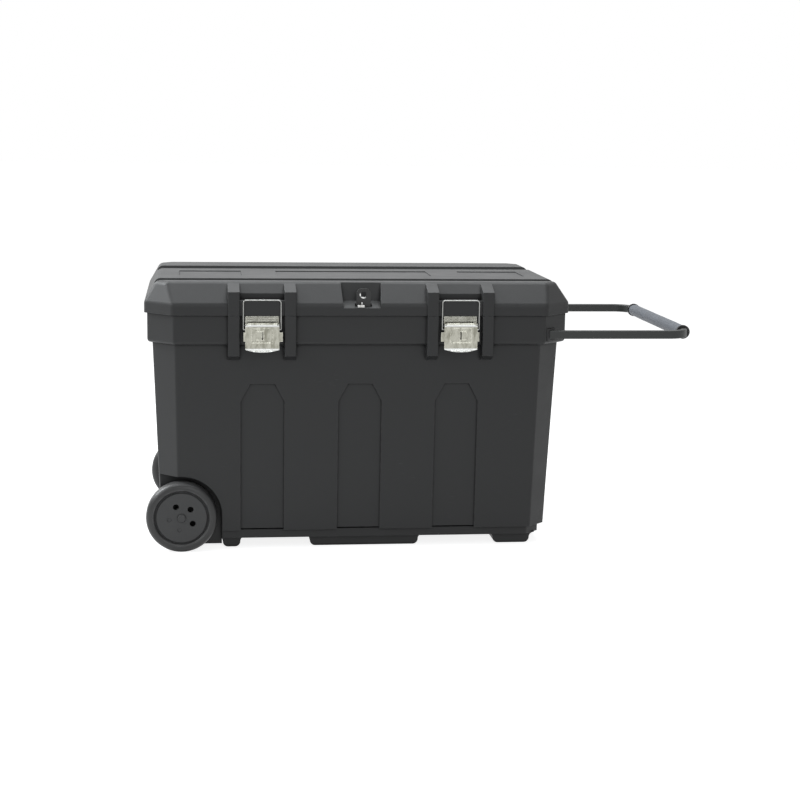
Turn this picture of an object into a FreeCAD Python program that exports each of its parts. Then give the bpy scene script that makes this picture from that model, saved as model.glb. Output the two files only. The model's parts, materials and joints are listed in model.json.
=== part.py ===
import FreeCAD
import Part

import math
import os

# Wheeled jobsite storage box: a moulded tub on two wheels and moulded feet, a hinged lid with two draw
# latches and a padlock eye, and a U-shaped pull handle that slides out of the right-hand end.
# Millimetres. X runs along the length towards the handle, Y from the front to the back, Z up.
# The origin is on the floor, under the middle of the box.
# Places closer than SAME count as one, and a cut runs OVERCUT past the face that it opens.

V = FreeCAD.Vector
ROOT_TWO = math.sqrt(2.0)
SAME = 0.01
OVERCUT = 1.0

# Lid moulding
LID_LENGTH = 965.0
LID_DEPTH = 590.0
LID_CORNER = 63.0
LID_LIP_Z = 541.0
LID_BAND = 24.0
LID_SLOPE_RISE = 48.0
LID_SLOPE_RUN = 43.0
LID_END_RUN = 30.5
CREST_SHIFT = -3.0
CREST_CORNER = 22.0
LID_WALL = 4.5
LID_ROUND = 15.0
GROOVE_DEPTH = 10.0
GROOVE_DRAFT = 3.0
FRONT_RAIL = 24.0
FRONT_GROOVE = 48.0
REAR_RAIL = 112.0
REAR_GROOVE = 74.0
DECK_PANEL_DEPTH = 1.8
DECK_PANEL_BACK = 60.0
DECK_PANEL_WIDE = 118.0
END_PANEL_LONG = 144.0
END_PANEL_INSET = 49.0
BADGE_PANEL_LONG = 360.0
GASKET_SHELF = 3.0
GASKET_SHELF_WIDE = 12.0
GASKET_THICK = 3.5
GASKET_WIDE = 4.5
GASKET_GAP = 0.3

# Tub moulding
RIM_GAP = 2.0
RIM_RISE = 7.0
TUB_WALL = 5.0
TUB_ROUND = 8.0
COLLAR_HEIGHT = 67.0
COLLAR_STEP = 14.0
LEDGE = 8.0
TUB_DRAFT = 18.0
TUB_SHIFT = -2.7
TUB_LEAN = -1.8
PLINTH_STEP = 12.0
PLINTH_TOP_Z = 44.0
PLINTH_LAP = 16.0
BELLY_Z = 24.0
FLOOR = 6.0
LIP_GAP = 0.7

# Recessed panels in the front and back walls
PANEL_PITCH = 220.0
PANEL_WIDE = 98.0
PANEL_CROWN = 56.0
PANEL_DROP = 90.0
PANEL_SHOULDER = 40.0
PANEL_DEPTH = 4.5

# Feet: the left one is measured from its wheel's well, the right one from the plinth's end
FOOT_INSET = 16.0
LEFT_FOOT = (2.0, 42.0)
CENTRE_FOOT = (-109.0, 142.0)
RIGHT_FOOT = (109.0, 23.0)
SKID_Z = 6.0

# Wheels and axle
WHEEL_RADIUS = 80.0
WHEEL_INSET = 80.5
WHEEL_TUCK = 14.0
TYRE_WIDE = 44.0
TYRE_THICK = 19.0
TYRE_ROUND = 13.0
DISC_STEP = 3.0
DISC_THICK = 6.0
RIM_THICK = 5.0
HUB_CORE_RADIUS = 15.0
HUB_HOLES = 5
HUB_OPEN_HOLES = (0, 3, 4)
HUB_HOLE_RADIUS = 6.8
HUB_HOLE_CIRCLE = 28.0
HUB_HOLE_TURN = 116.0
HUB_DIMPLE_RADIUS = 5.0
HUB_DIMPLE_DEPTH = 1.0
WELL_GAP = 11.0
WELL_SIDE_GAP = 16.0
AXLE_RADIUS = 6.0
RUNNING_GAP = 0.05
TUNNEL_GAP = 3.0
WASHER_RADIUS = 11.0
WASHER_THICK = 1.5
SIDE_GAP = 0.3
CAP_RADIUS = 9.0
CAP_THICK = 4.5
CAP_SOCKET = 3.0

# Lid hinge
HINGE_X = 300.0
HINGE_Y_OUT = 10.0
KNUCKLE_RADIUS = 8.0
KNUCKLE_LID = 36.0
KNUCKLE_TUB = 26.0
KNUCKLE_GAP = 0.5
HINGE_PIN_RADIUS = 3.0
HINGE_WEB_DROP = 38.0
HINGE_WEB_TURN = 60.0

# Latch ribs, keeper and draw latches
LATCH_X = 222.0
RIB_OFFSET = 62.5
RIB_WIDE = 26.0
RIB_PROUD = 5.0
RIB_DROP = 104.0
RIB_UNDERCUT = 14.0
RIB_TOP_DROP = 19.5
RIB_ROUND = 2.5
KEEPER_RISE = 33.0
KEEPER_PROUD = 1.0
KEEPER_BACK = 22.0
BAIL_GAP = 0.4
BAIL_WIRE = 3.0
BAIL_HALF_WIDTH = 41.6
BAIL_BEND = 6.0
BAIL_FOOT_BEND = 2.4
BAIL_FOOT_IN = 1.7
BAIL_OVER_KEEPER = 3.0
LATCH_PIN_DROP = 21.0
LATCH_PIN_RADIUS = 2.0
BAIL_DROP = 10.0
OVER_CENTRE = 1.5
LEVER_HALF_WIDTH = 37.5
LEVER_SHEET = 1.5
LEVER_NOSE = 6.0
LEVER_LONG = 54.0
LEVER_BOW = 5.0
LEVER_LIP = 6.0
FLANGE_BACK = 4.2
FLANGE_LONG = 20.0
EAR_INWARD = 7.5
EAR_OUTWARD = 4.0
EAR_TOP_DROP = 5.2
EAR_HIGH = 20.5
LEVER_PANEL = (47.0, 33.0)
LEVER_PANEL_DEPTH = 0.9
LEVER_PAD = (18.0, 22.0)
LEVER_PAD_OUT = 5.0
EMBOSS_RUN = 2.0
LEVER_SLOT = (3.0, 18.0)
BASE_SHEET = 2.0
BASE_HIGH = 57.0
BASE_RIDGES = 3
BASE_RIDGE_RADIUS = 1.6
BASE_RIDGE_PITCH = 4.6
BASE_LUG_THICK = 2.0
BASE_LUG_GAP = 0.5
BASE_LUG_RADIUS = 4.0
RIVET_SPREAD = 22.0
RIVET_DROP = 26.0
RIVET_RADIUS = 2.0
RIVET_HEAD_RADIUS = 4.5
RIVET_HEAD = 1.4

# Padlock eye and its recess in the lid
EYE_X = 4.0
EYE_HALF_WIDTH = 16.0
EYE_THICK = 4.0
EYE_HOLE_RISE = 46.5
EYE_HOLE_RADIUS = 6.5
EYE_CROWN = 13.0
EYE_DROP = 30.0
EYE_SCREW_SPREAD = 9.0
EYE_SCREW_DROP = 21.0
EYE_ROUND = 12.0
LOCK_HALF_WIDTH = 41.5
LOCK_FRONT_RISE = 17.0
LOCK_BACK_RISE = 30.0
LOCK_BACK_RUN = 33.0
LOCK_WALL_RUN = 10.0
LOCK_SIDE_RUN = 4.0
EYE_SLOT_GAP = 5.5

# Pull handle
ARM_WIDE = 13.0
ARM_TALL = 19.0
ARM_WALL = 1.8
ARM_ROUND = 2.5
HANDLE_OUT = 273.5
HANDLE_BEND = 45.0
ARM_HELD = 255.0
HANDLE_TRAVEL = 250.0
GRIP_RADIUS = 14.5
GRIP_END_GAP = 0.5
END_RING = 6.0
END_RING_RADIUS = 16.0
SLIDER_LONG = 30.0
SLIDER_END = 4.0
STOP_GAP = 0.3
SLIDER_WALL = 1.4
SLIDE_GAP = 0.3
SLEEVE_WALL = 2.5
SLEEVE_END = 10.0
GUIDE_LONG = 12.0
GUIDE_PROUD = 3.0
SLEEVE_TAB = 16.0
SLEEVE_TAB_HALF = 10.0
SLEEVE_TABS_BACK = (465.0, 255.0, 55.0)

# Screws
SCREW_RADIUS = 2.0
SCREW_HEAD_RADIUS = 4.0
SCREW_HEAD = 2.2
SCREW_BITE = 3.5


# Outlines: half length, half depth, corner leg and middle X of an octagon, its sides moved inwards together
def inset(outline, distance):
    half_length, half_depth, corner, middle = outline
    corner_change = distance * (2.0 - ROOT_TWO)
    return (half_length - distance, half_depth - distance, corner - corner_change, middle)


LID_OUTLINE = (LID_LENGTH / 2.0, LID_DEPTH / 2.0, LID_CORNER, 0.0)
CREST = (LID_OUTLINE[0] - LID_END_RUN, LID_OUTLINE[1] - LID_SLOPE_RUN, CREST_CORNER, CREST_SHIFT)
COLLAR = inset(LID_OUTLINE, LID_WALL + RIM_GAP)

LID_FRONT_Y = -LID_OUTLINE[1]
COLLAR_FRONT_Y = -COLLAR[1]
COLLAR_INNER_Y = COLLAR[1] - TUB_WALL
RIM_Z = LID_LIP_Z + RIM_RISE
COLLAR_Z = LID_LIP_Z - COLLAR_HEIGHT
LEDGE_Z = COLLAR_Z + LEDGE
BAND_Z = LID_LIP_Z + LID_BAND
CREST_Z = BAND_Z + LID_SLOPE_RISE
CREST_FRONT_Y = LID_FRONT_Y + LID_SLOPE_RUN
RIB_FRONT_Y = LID_FRONT_Y - RIB_PROUD
HINGE_Y = LID_OUTLINE[1] + HINGE_Y_OUT
RIB_TOP_Z = CREST_Z - RIB_TOP_DROP
KEEPER_Z = LID_LIP_Z + KEEPER_RISE
LATCH_PIN_Z = LID_LIP_Z - LATCH_PIN_DROP
RIVET_Z = LID_LIP_Z - RIVET_DROP
EYE_HOLE_Z = LID_LIP_Z + EYE_HOLE_RISE
EYE_TOP_Z = EYE_HOLE_Z + EYE_CROWN
EYE_SCREW_Z = LID_LIP_Z - EYE_SCREW_DROP
PANEL_TOP_Z = COLLAR_Z - PANEL_DROP
WHEEL_X = WHEEL_INSET - LID_OUTLINE[0]
WHEEL_FACE_Y = LID_OUTLINE[1] - WHEEL_TUCK
TYRE_SEAT_RADIUS = WHEEL_RADIUS - TYRE_THICK
WELL_INNER_Y = WHEEL_FACE_Y - TYRE_WIDE - WELL_SIDE_GAP
SIDES = (-1.0, 1.0)
LATCHES = (("left", -LATCH_X), ("right", LATCH_X))


def lower_outline(z):
    """The drafted lower wall of the tub at one height; its middle leans away from the handle."""
    drop = (COLLAR_Z - z) / (COLLAR_Z - PLINTH_TOP_Z)
    half_length, half_depth, corner, _ = inset(COLLAR, COLLAR_STEP + TUB_DRAFT * drop)
    return (half_length, half_depth, corner, TUB_SHIFT + TUB_LEAN * drop)


PLINTH = inset(lower_outline(PLINTH_TOP_Z), PLINTH_STEP)


# Shape helpers
def octagon(outline, z):
    a, b, c, middle = outline
    corners = [(a - c, -b), (a, c - b), (a, b - c), (a - c, b)]
    corners += [(c - a, b), (-a, b - c), (-a, c - b), (c - a, -b)]
    return [V(middle + x, y, z) for x, y in corners]


def closed_face(points):
    return Part.Face(Part.makePolygon(points + points[:1]))


def octagon_body(levels):
    """A solid through octagons at rising heights, with flat sides between them."""
    wires = []
    for z, outline in levels:
        points = octagon(outline, z)
        wires.append(Part.makePolygon(points + points[:1]))
    return Part.makeLoft(wires, True, True)


def rounded(body, radius, sharp_heights):
    """Rounds every edge but those that lie flat at one of the given heights."""
    edges = []
    for edge in body.Edges:
        heights = [vertex.Z for vertex in edge.Vertexes]
        lies_flat = max(heights) - min(heights) < SAME
        stays_sharp = lies_flat and any(abs(heights[0] - z) < SAME for z in sharp_heights)
        if not stays_sharp:
            edges.append(edge)
    return body.makeFillet(radius, edges)


def box(x_range, y_range, z_range):
    corner = V(min(x_range), min(y_range), min(z_range))
    sizes = [abs(end - start) for start, end in (x_range, y_range, z_range)]
    return Part.makeBox(sizes[0], sizes[1], sizes[2], corner)


def around(centre, half):
    return (centre - half, centre + half)


def side_prism(points, x_range):
    """A side profile, points of Y and Z, drawn along X."""
    face = closed_face([V(x_range[0], y, z) for y, z in points])
    return face.extrude(V(x_range[1] - x_range[0], 0, 0))


def front_prism(points, y_range):
    """A front profile, points of X and Z, drawn along Y."""
    face = closed_face([V(x, y_range[0], z) for x, z in points])
    return face.extrude(V(0, y_range[1] - y_range[0], 0))


def rod_x(radius, x_range, y, z):
    return Part.makeCylinder(radius, x_range[1] - x_range[0], V(x_range[0], y, z), V(1, 0, 0))


def rod_y(radius, x, y_range, z):
    length = abs(y_range[1] - y_range[0])
    return Part.makeCylinder(radius, length, V(x, min(y_range), z), V(0, 1, 0))


def join(shapes):
    joined = shapes[0]
    if len(shapes) > 1:
        joined = joined.fuse(shapes[1:])
    return joined.removeSplitter()


def mirrored_y(shape):
    return shape.mirror(V(0, 0, 0), V(0, 1, 0))


def both_sides(shape):
    return [shape, mirrored_y(shape)]


def save(name, shapes):
    shape = shapes[0] if len(shapes) == 1 else Part.makeCompound(shapes)
    shape.exportStep("parts/" + name + ".step")


# Tub
def panel_outline(x, grow):
    """A recessed panel with a cropped top, seen from the front."""
    half = PANEL_WIDE / 2.0 + grow
    crown = PANEL_CROWN / 2.0 + grow * (ROOT_TWO - 1.0)
    shoulder = PANEL_TOP_Z - PANEL_SHOULDER + grow * (ROOT_TWO - 1.0)
    bottom, top = PLINTH_TOP_Z, PANEL_TOP_Z + grow
    return [(x - half, bottom), (x + half, bottom), (x + half, shoulder),
            (x + crown, top), (x - crown, top), (x - half, shoulder)]


def panels(grow):
    """The front and back panels as prisms through the whole tub."""
    reach = LID_OUTLINE[1]
    places = (-PANEL_PITCH, 0.0, PANEL_PITCH)
    return join([front_prism(panel_outline(x, grow), (-reach, reach)) for x in places])


def lower_body(skin):
    """The drafted lower tub and its plinth, moved in by a skin thickness."""
    wall = octagon_body([(PLINTH_TOP_Z + skin, inset(lower_outline(PLINTH_TOP_Z), skin)),
                         (LEDGE_Z, inset(lower_outline(LEDGE_Z), skin))])
    plinth = octagon_body([(BELLY_Z + (FLOOR if skin else 0.0), inset(PLINTH, skin)),
                           (PLINTH_TOP_Z + PLINTH_LAP + skin, inset(PLINTH, skin))])
    return wall, plinth


def wheel_well(grow):
    """The space round the front wheel; a positive grow gives the well's outer skin inside the tub."""
    radius = WHEEL_RADIUS + WELL_GAP + grow
    out = -LID_LENGTH / 2.0
    right = V(WHEEL_X + radius, 0, WHEEL_RADIUS)
    top = V(WHEEL_X, 0, WHEEL_RADIUS + radius)
    turn = radius / ROOT_TWO
    middle = V(WHEEL_X + turn, 0, WHEEL_RADIUS + turn)
    foot = V(WHEEL_X + radius, 0, -OVERCUT)
    outer_low = V(out, 0, -OVERCUT)
    outer_top = V(out, 0, WHEEL_RADIUS + radius)
    edges = [Part.makeLine(foot, right), Part.Arc(right, middle, top).toShape()]
    edges += Part.makePolygon([top, outer_top, outer_low, foot]).Edges
    face = Part.Face(Part.Wire(edges))
    face.translate(V(0, -LID_DEPTH / 2.0, 0))
    return face.extrude(V(0, LID_DEPTH / 2.0 - WELL_INNER_Y + grow, 0))


def axle_tunnel(grow):
    """The channel under the tub that the axle lies in, open downwards and closed at the wells."""
    half = AXLE_RADIUS + TUNNEL_GAP + grow
    reach = WELL_INNER_Y - TUB_WALL + grow
    crown = rod_y(half, WHEEL_X, (-reach, reach), WHEEL_RADIUS)
    slot = box(around(WHEEL_X, half), (-reach, reach), (-OVERCUT, WHEEL_RADIUS))
    return join([crown, slot])


def foot(x_range):
    """A moulded foot from front to back, with an ogee at both ends of its profile."""
    start, end = x_range
    r = BELLY_Z / 2.0
    bend = r - r / ROOT_TWO
    half_depth = PLINTH[1] - FOOT_INSET
    top = BELLY_Z + FLOOR / 2.0

    def ogee(x, inward):
        """The edges from the belly to the floor, where inward points into the foot along X."""
        places = [(x - inward * r, BELLY_Z), (x - inward * bend, BELLY_Z - bend), (x, r),
                  (x + inward * bend, bend), (x + inward * r, 0.0)]
        spots = [V(spot_x, -half_depth, z) for spot_x, z in places]
        return [Part.Arc(*spots[:3]).toShape(), Part.Arc(*spots[2:]).toShape()]

    corners = [(end - r, 0.0), (start + r, 0.0), (start - r, BELLY_Z), (start - r, top),
               (end + r, top), (end + r, BELLY_Z)]
    spots = [V(x, -half_depth, z) for x, z in corners]
    edges = ogee(start, 1.0) + ogee(end, -1.0)
    edges += [Part.makeLine(spots[0], spots[1])] + Part.makePolygon(spots[2:]).Edges
    return Part.Face(Part.Wire(Part.sortEdges(edges)[0])).extrude(V(0, 2.0 * half_depth, 0))


def upright_front_edges(rib):
    return [edge for edge in rib.Edges
            if all(abs(v.Y - RIB_FRONT_Y) < SAME for v in edge.Vertexes) and edge.BoundBox.ZLength > OVERCUT]


def tub_rib(x):
    """A rib beside a latch, on the collar and running down onto the lower wall."""
    bottom = LID_LIP_Z - RIB_DROP
    seat = -lower_outline(bottom)[1] + TUB_WALL / 2.0
    back = COLLAR_FRONT_Y + TUB_WALL / 2.0
    top = LID_LIP_Z - LIP_GAP
    points = [(RIB_FRONT_Y, top), (RIB_FRONT_Y, bottom + RIB_UNDERCUT), (seat, bottom),
              (seat, COLLAR_Z + LEDGE / 2.0), (back, COLLAR_Z + LEDGE / 2.0), (back, top)]
    rib = side_prism(points, around(x, RIB_WIDE / 2.0))
    return rib.makeFillet(RIB_ROUND, upright_front_edges(rib))


def hinge_spans(x):
    """The three knuckles of one hinge along X: tub, lid, tub."""
    half = KNUCKLE_LID / 2.0
    near = half + KNUCKLE_GAP
    far = near + KNUCKLE_TUB
    return (x - far, x - near), (x - half, x + half), (x + near, x + far)


def barrel_spot(up):
    """Where a knuckle's web meets its barrel, above or below the pin."""
    turn = math.radians(HINGE_WEB_TURN)
    return (HINGE_Y + KNUCKLE_RADIUS * math.cos(turn), LID_LIP_Z + up * KNUCKLE_RADIUS * math.sin(turn))


def tub_knuckle(x_range):
    top = LID_LIP_Z - LIP_GAP
    seat = COLLAR[1] - TUB_WALL / 2.0
    slope = [(seat, top - HINGE_WEB_DROP), barrel_spot(-1.0), (HINGE_Y, top), (seat, top)]
    barrel = rod_x(KNUCKLE_RADIUS, x_range, HINGE_Y, LID_LIP_Z)
    return join([side_prism(slope, x_range), barrel])


def rivet_places():
    """The middle of every latch rivet, as X and Z."""
    return [(x + step, RIVET_Z) for _, x in LATCHES for step in (-RIVET_SPREAD, 0.0, RIVET_SPREAD)]


def eye_screw_places():
    return [(EYE_X + side * EYE_SCREW_SPREAD, EYE_SCREW_Z) for side in SIDES]


SLEEVE_HALF_TALL = ARM_TALL / 2.0 + SLIDER_WALL + SLIDE_GAP + SLEEVE_WALL
SLEEVE_HALF_WIDE = ARM_WIDE / 2.0 + SLIDER_WALL + SLIDE_GAP + SLEEVE_WALL
ARM_Y = COLLAR_INNER_Y - SLEEVE_HALF_WIDE
ARM_Z = LEDGE_Z + SLEEVE_HALF_TALL
COLLAR_CORNER_X = COLLAR[0] - COLLAR[2]
SLEEVE_FRONT_X = COLLAR_CORNER_X - GUIDE_LONG
SLEEVE_TAB_Z = ARM_Z + SLEEVE_HALF_TALL + SLEEVE_TAB / 2.0
SLEEVE_TAB_X = [SLEEVE_FRONT_X - back for back in SLEEVE_TABS_BACK]


def sleeve_block(x_range):
    """The outer block of the front arm's sleeve, which its guide carries on through the corner."""
    return box(x_range, around(-ARM_Y, SLEEVE_HALF_WIDE), around(ARM_Z, SLEEVE_HALF_TALL))


def guide_block():
    return sleeve_block((SLEEVE_FRONT_X, LID_OUTLINE[0]))


def sleeve_screw_places():
    return [(x, SLEEVE_TAB_Z) for x in SLEEVE_TAB_X]


def tub():
    collar = rounded(octagon_body([(COLLAR_Z, COLLAR), (RIM_Z, COLLAR)]), TUB_ROUND, [RIM_Z])
    wall, plinth = lower_body(0.0)
    wall = rounded(wall, TUB_ROUND, [PLINTH_TOP_Z, LEDGE_Z])
    plinth = rounded(plinth, TUB_ROUND, [BELLY_Z, PLINTH_TOP_Z + PLINTH_LAP])
    recess_floor = join(list(lower_body(PANEL_DEPTH)))
    outer = join([collar, wall, plinth]).cut(panels(0.0).cut(recess_floor))

    inner_wall, inner_plinth = lower_body(TUB_WALL)
    collar_inside = inset(COLLAR, TUB_WALL)
    collar_space = octagon_body([(LEDGE_Z, collar_inside), (RIM_Z + OVERCUT, collar_inside)])
    panel_backs = panels(TUB_WALL).cut(join(list(lower_body(PANEL_DEPTH + TUB_WALL))))
    cavity = join([collar_space, inner_wall, inner_plinth])
    wells = both_sides(wheel_well(0.0))
    well_skins = both_sides(wheel_well(TUB_WALL))
    panel_backs = panel_backs.common(join([inner_wall, inner_plinth]))
    shell = outer.cut(cavity.cut([panel_backs, axle_tunnel(TUB_WALL)] + well_skins))

    well_right = WHEEL_X + WHEEL_RADIUS + WELL_GAP
    skid_left = -lower_outline(PLINTH_TOP_Z)[0] + PLINTH_STEP
    skid = box((skid_left, well_right), around(0.0, WELL_INNER_Y), (SKID_Z, BELLY_Z + FLOOR / 2.0))
    plinth_end = PLINTH[3] + PLINTH[0]
    feet = [[well_right + x for x in LEFT_FOOT], CENTRE_FOOT, [plinth_end - x for x in RIGHT_FOOT]]
    added = [foot(x_range) for x_range in feet] + [skid]
    for _, x in LATCHES:
        added += [tub_rib(x + side * RIB_OFFSET) for side in SIDES]
    for side in SIDES:
        spans = hinge_spans(side * HINGE_X)
        added += [tub_knuckle(spans[0]), tub_knuckle(spans[2])]
    shell = join([shell] + added)

    holes = wells + [axle_tunnel(0.0), rod_y(AXLE_RADIUS, WHEEL_X, around(0.0, WHEEL_FACE_Y), WHEEL_RADIUS)]
    holes += both_sides(guide_block())
    wall_range = (COLLAR_FRONT_Y - OVERCUT, -COLLAR_INNER_Y + OVERCUT)
    sink_range = (-COLLAR_INNER_Y - RIVET_HEAD, -COLLAR_INNER_Y + OVERCUT)
    for x, z in rivet_places():
        holes += [rod_y(RIVET_RADIUS, x, wall_range, z), rod_y(RIVET_HEAD_RADIUS, x, sink_range, z)]
    bite = (-COLLAR_INNER_Y - SCREW_BITE, -COLLAR_INNER_Y + OVERCUT)
    holes += [rod_y(SCREW_RADIUS, x, bite, z) for x, z in eye_screw_places()]
    for x, z in sleeve_screw_places():
        holes += both_sides(rod_y(SCREW_RADIUS, x, bite, z))
    for side in SIDES:
        spans = hinge_spans(side * HINGE_X)
        holes.append(rod_x(HINGE_PIN_RADIUS, (spans[0][0], spans[2][1]), HINGE_Y, LID_LIP_Z))
    return shell.cut(holes).removeSplitter()


# Lid
SLOPE_LENGTH = math.hypot(LID_SLOPE_RISE, LID_SLOPE_RUN)
SHELF_Z = RIM_Z + GASKET_GAP + GASKET_THICK
KEEPER_FRONT_Y = LID_FRONT_Y - KEEPER_PROUD
EYE_FRONT_Y = -COLLAR_INNER_Y
EYE_BACK_Y = EYE_FRONT_Y + EYE_THICK
DECK_FRONT_Y = CREST_FRONT_Y + FRONT_RAIL + FRONT_GROOVE
DECK_BACK_Y = -CREST_FRONT_Y - REAR_RAIL - REAR_GROOVE


def lid_space():
    """The hollow of the lid, one wall thickness inside its skin."""
    slope_inset = LID_WALL * SLOPE_LENGTH / LID_SLOPE_RISE
    break_z = BAND_Z - (slope_inset - LID_WALL) * LID_SLOPE_RISE / LID_SLOPE_RUN
    top_inset = slope_inset - LID_WALL * LID_SLOPE_RUN / LID_SLOPE_RISE
    skirt = inset(LID_OUTLINE, LID_WALL)
    return octagon_body([(LID_LIP_Z - OVERCUT, skirt), (break_z, skirt),
                         (CREST_Z - LID_WALL, inset(CREST, top_inset))])


def groove(front, back, grow):
    """A drafted groove along the lid's top; a positive grow gives its skin inside the lid."""
    floor = CREST_Z - GROOVE_DEPTH - grow
    points = [(front - grow, CREST_Z + OVERCUT), (front + GROOVE_DRAFT - grow, floor),
              (back - GROOVE_DRAFT + grow, floor), (back + grow, CREST_Z + OVERCUT)]
    return side_prism(points, around(0.0, LID_LENGTH))


def grooves(grow):
    front = groove(CREST_FRONT_Y + FRONT_RAIL, DECK_FRONT_Y, grow)
    back = groove(DECK_BACK_Y, -CREST_FRONT_Y - REAR_RAIL, grow)
    return [front, back]


def deck_panels():
    """Shallow recesses along the deck: one at each end and the bare badge place between them."""
    y_range = (DECK_BACK_Y - DECK_PANEL_BACK - DECK_PANEL_WIDE, DECK_BACK_Y - DECK_PANEL_BACK)
    z_range = (CREST_Z - DECK_PANEL_DEPTH, CREST_Z + OVERCUT)
    end_panel_x = CREST[0] - END_PANEL_INSET - END_PANEL_LONG / 2.0
    spans = [around(CREST_SHIFT + side * end_panel_x, END_PANEL_LONG / 2.0) for side in SIDES]
    spans.append(around(0.0, BADGE_PANEL_LONG / 2.0))
    return [box(span, y_range, z_range) for span in spans]


def lock_recess(grow):
    """The drafted recess round the padlock eye, with a floor that rises to the back."""
    back = LID_FRONT_Y + LOCK_BACK_RUN + grow
    top = CREST_Z + OVERCUT
    front_z = LID_LIP_Z + LOCK_FRONT_RISE - grow
    back_z = LID_LIP_Z + LOCK_BACK_RISE - grow
    low_half = LOCK_HALF_WIDTH + grow
    top_half = low_half + LOCK_SIDE_RUN
    points = [(RIB_FRONT_Y, front_z), (LID_FRONT_Y, front_z), (back, back_z), (back + LOCK_WALL_RUN, top),
              (RIB_FRONT_Y, top)]
    across = [(-low_half, front_z), (low_half, front_z), (top_half, top), (-top_half, top)]
    profile = side_prism(points, around(0.0, LID_OUTLINE[1]))
    return profile.common(front_prism(across, (RIB_FRONT_Y, 0.0)))


def lid_rib(x):
    """A rib beside a latch, carried up over the band to the crest."""
    back = CREST_FRONT_Y + LID_WALL
    seat = LID_FRONT_Y + LID_WALL
    points = [(RIB_FRONT_Y, LID_LIP_Z), (RIB_FRONT_Y, RIB_TOP_Z), (CREST_FRONT_Y, CREST_Z - RIB_ROUND),
              (back, CREST_Z - LID_WALL), (seat, BAND_Z), (seat, LID_LIP_Z)]
    rib = side_prism(points, around(x, RIB_WIDE / 2.0))
    return rib.makeFillet(RIB_ROUND, upright_front_edges(rib))


def keeper_half():
    return RIB_OFFSET - RIB_WIDE / 2.0


def lid_knuckle(x_range):
    seat = LID_OUTLINE[1] - LID_WALL / 2.0
    web = [(seat, LID_LIP_Z), (HINGE_Y, LID_LIP_Z), barrel_spot(1.0), (seat, BAND_Z)]
    return join([side_prism(web, x_range), rod_x(KNUCKLE_RADIUS, x_range, HINGE_Y, LID_LIP_Z)])


def lid():
    skin = octagon_body([(LID_LIP_Z, LID_OUTLINE), (BAND_Z, LID_OUTLINE), (CREST_Z, CREST)])
    skin = rounded(skin, LID_ROUND, [LID_LIP_Z])
    space = lid_space()
    pocket_back = KEEPER_FRONT_Y + KEEPER_BACK
    pockets = []
    pocket_skins = []
    keepers = []
    for _, x in LATCHES:
        across = around(x, keeper_half())
        pockets.append(box(across, (RIB_FRONT_Y, pocket_back), (KEEPER_Z, CREST_Z)))
        pocket_skins.append(box(around(x, keeper_half() + LID_WALL), (LID_FRONT_Y, pocket_back + LID_WALL),
                                (KEEPER_Z - LID_WALL, CREST_Z)))
        keepers.append(box(across, (KEEPER_FRONT_Y, LID_FRONT_Y + LID_WALL), (LID_LIP_Z, KEEPER_Z)))
    space = space.cut(grooves(LID_WALL) + pocket_skins + [lock_recess(LID_WALL)])
    shelf = octagon_body([(SHELF_Z, inset(LID_OUTLINE, LID_WALL / 2.0)),
                          (SHELF_Z + GASKET_SHELF, inset(LID_OUTLINE, LID_WALL / 2.0))])
    shelf_hole = inset(LID_OUTLINE, LID_WALL + GASKET_SHELF_WIDE)
    shelf = shelf.cut(octagon_body([(SHELF_Z, shelf_hole), (SHELF_Z + GASKET_SHELF, shelf_hole)]))
    ribs = [lid_rib(x + side * RIB_OFFSET) for _, x in LATCHES for side in SIDES]
    shell = join([skin.cut(space), shelf] + ribs + keepers)
    shell = join([shell] + [lid_knuckle(hinge_spans(side * HINGE_X)[1]) for side in SIDES])

    eye_slot = box(around(EYE_X, EYE_HALF_WIDTH + EYE_SLOT_GAP / 2.0),
                   (EYE_FRONT_Y - EYE_SLOT_GAP, EYE_BACK_Y + EYE_SLOT_GAP), (RIM_Z, EYE_TOP_Z))
    holes = grooves(0.0) + deck_panels() + pockets + [lock_recess(0.0), eye_slot]
    for side in SIDES:
        span = hinge_spans(side * HINGE_X)[1]
        holes.append(rod_x(HINGE_PIN_RADIUS + RUNNING_GAP, span, HINGE_Y, LID_LIP_Z))
    return shell.cut(holes).removeSplitter()


def lid_gasket():
    """The foam seal on the lid's shelf, over the tub's rim."""
    outer = octagon_body([(RIM_Z + GASKET_GAP, COLLAR), (SHELF_Z, COLLAR)])
    inner = inset(COLLAR, GASKET_WIDE)
    return outer.cut(octagon_body([(RIM_Z, inner), (SHELF_Z + OVERCUT, inner)]))


# Draw latches
BAIL_Y = KEEPER_FRONT_Y - BAIL_GAP - BAIL_WIRE / 2.0
BAIL_PIVOT_Z = LATCH_PIN_Z - BAIL_DROP
LATCH_PIN_Y = BAIL_Y - OVER_CENTRE
LEVER_FACE_Y = LATCH_PIN_Y - LEVER_NOSE
LEVER_BACK_Y = LEVER_FACE_Y + LEVER_SHEET
LEVER_BOTTOM_Z = LATCH_PIN_Z - LEVER_LONG
LEVER_PANEL_Z = LATCH_PIN_Z - LEVER_NOSE - LEVER_PANEL[1] / 2.0
BASE_FRONT_Y = COLLAR_FRONT_Y - BASE_SHEET
FLANGE_IN = LEVER_HALF_WIDTH - LEVER_SHEET
LUG_OUT = FLANGE_IN - BASE_LUG_GAP
LUG_IN = LUG_OUT - BASE_LUG_THICK


def arc_yz(centre, radius, start, middle, end):
    """An arc in the plane of Y and Z, from angles in degrees, with 0 towards +Y."""
    points = []
    for angle in (start, middle, end):
        turn = math.radians(angle)
        points.append(V(0, centre[0] + radius * math.cos(turn), centre[1] + radius * math.sin(turn)))
    return Part.Arc(points[0], points[1], points[2]).toShape()


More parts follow.
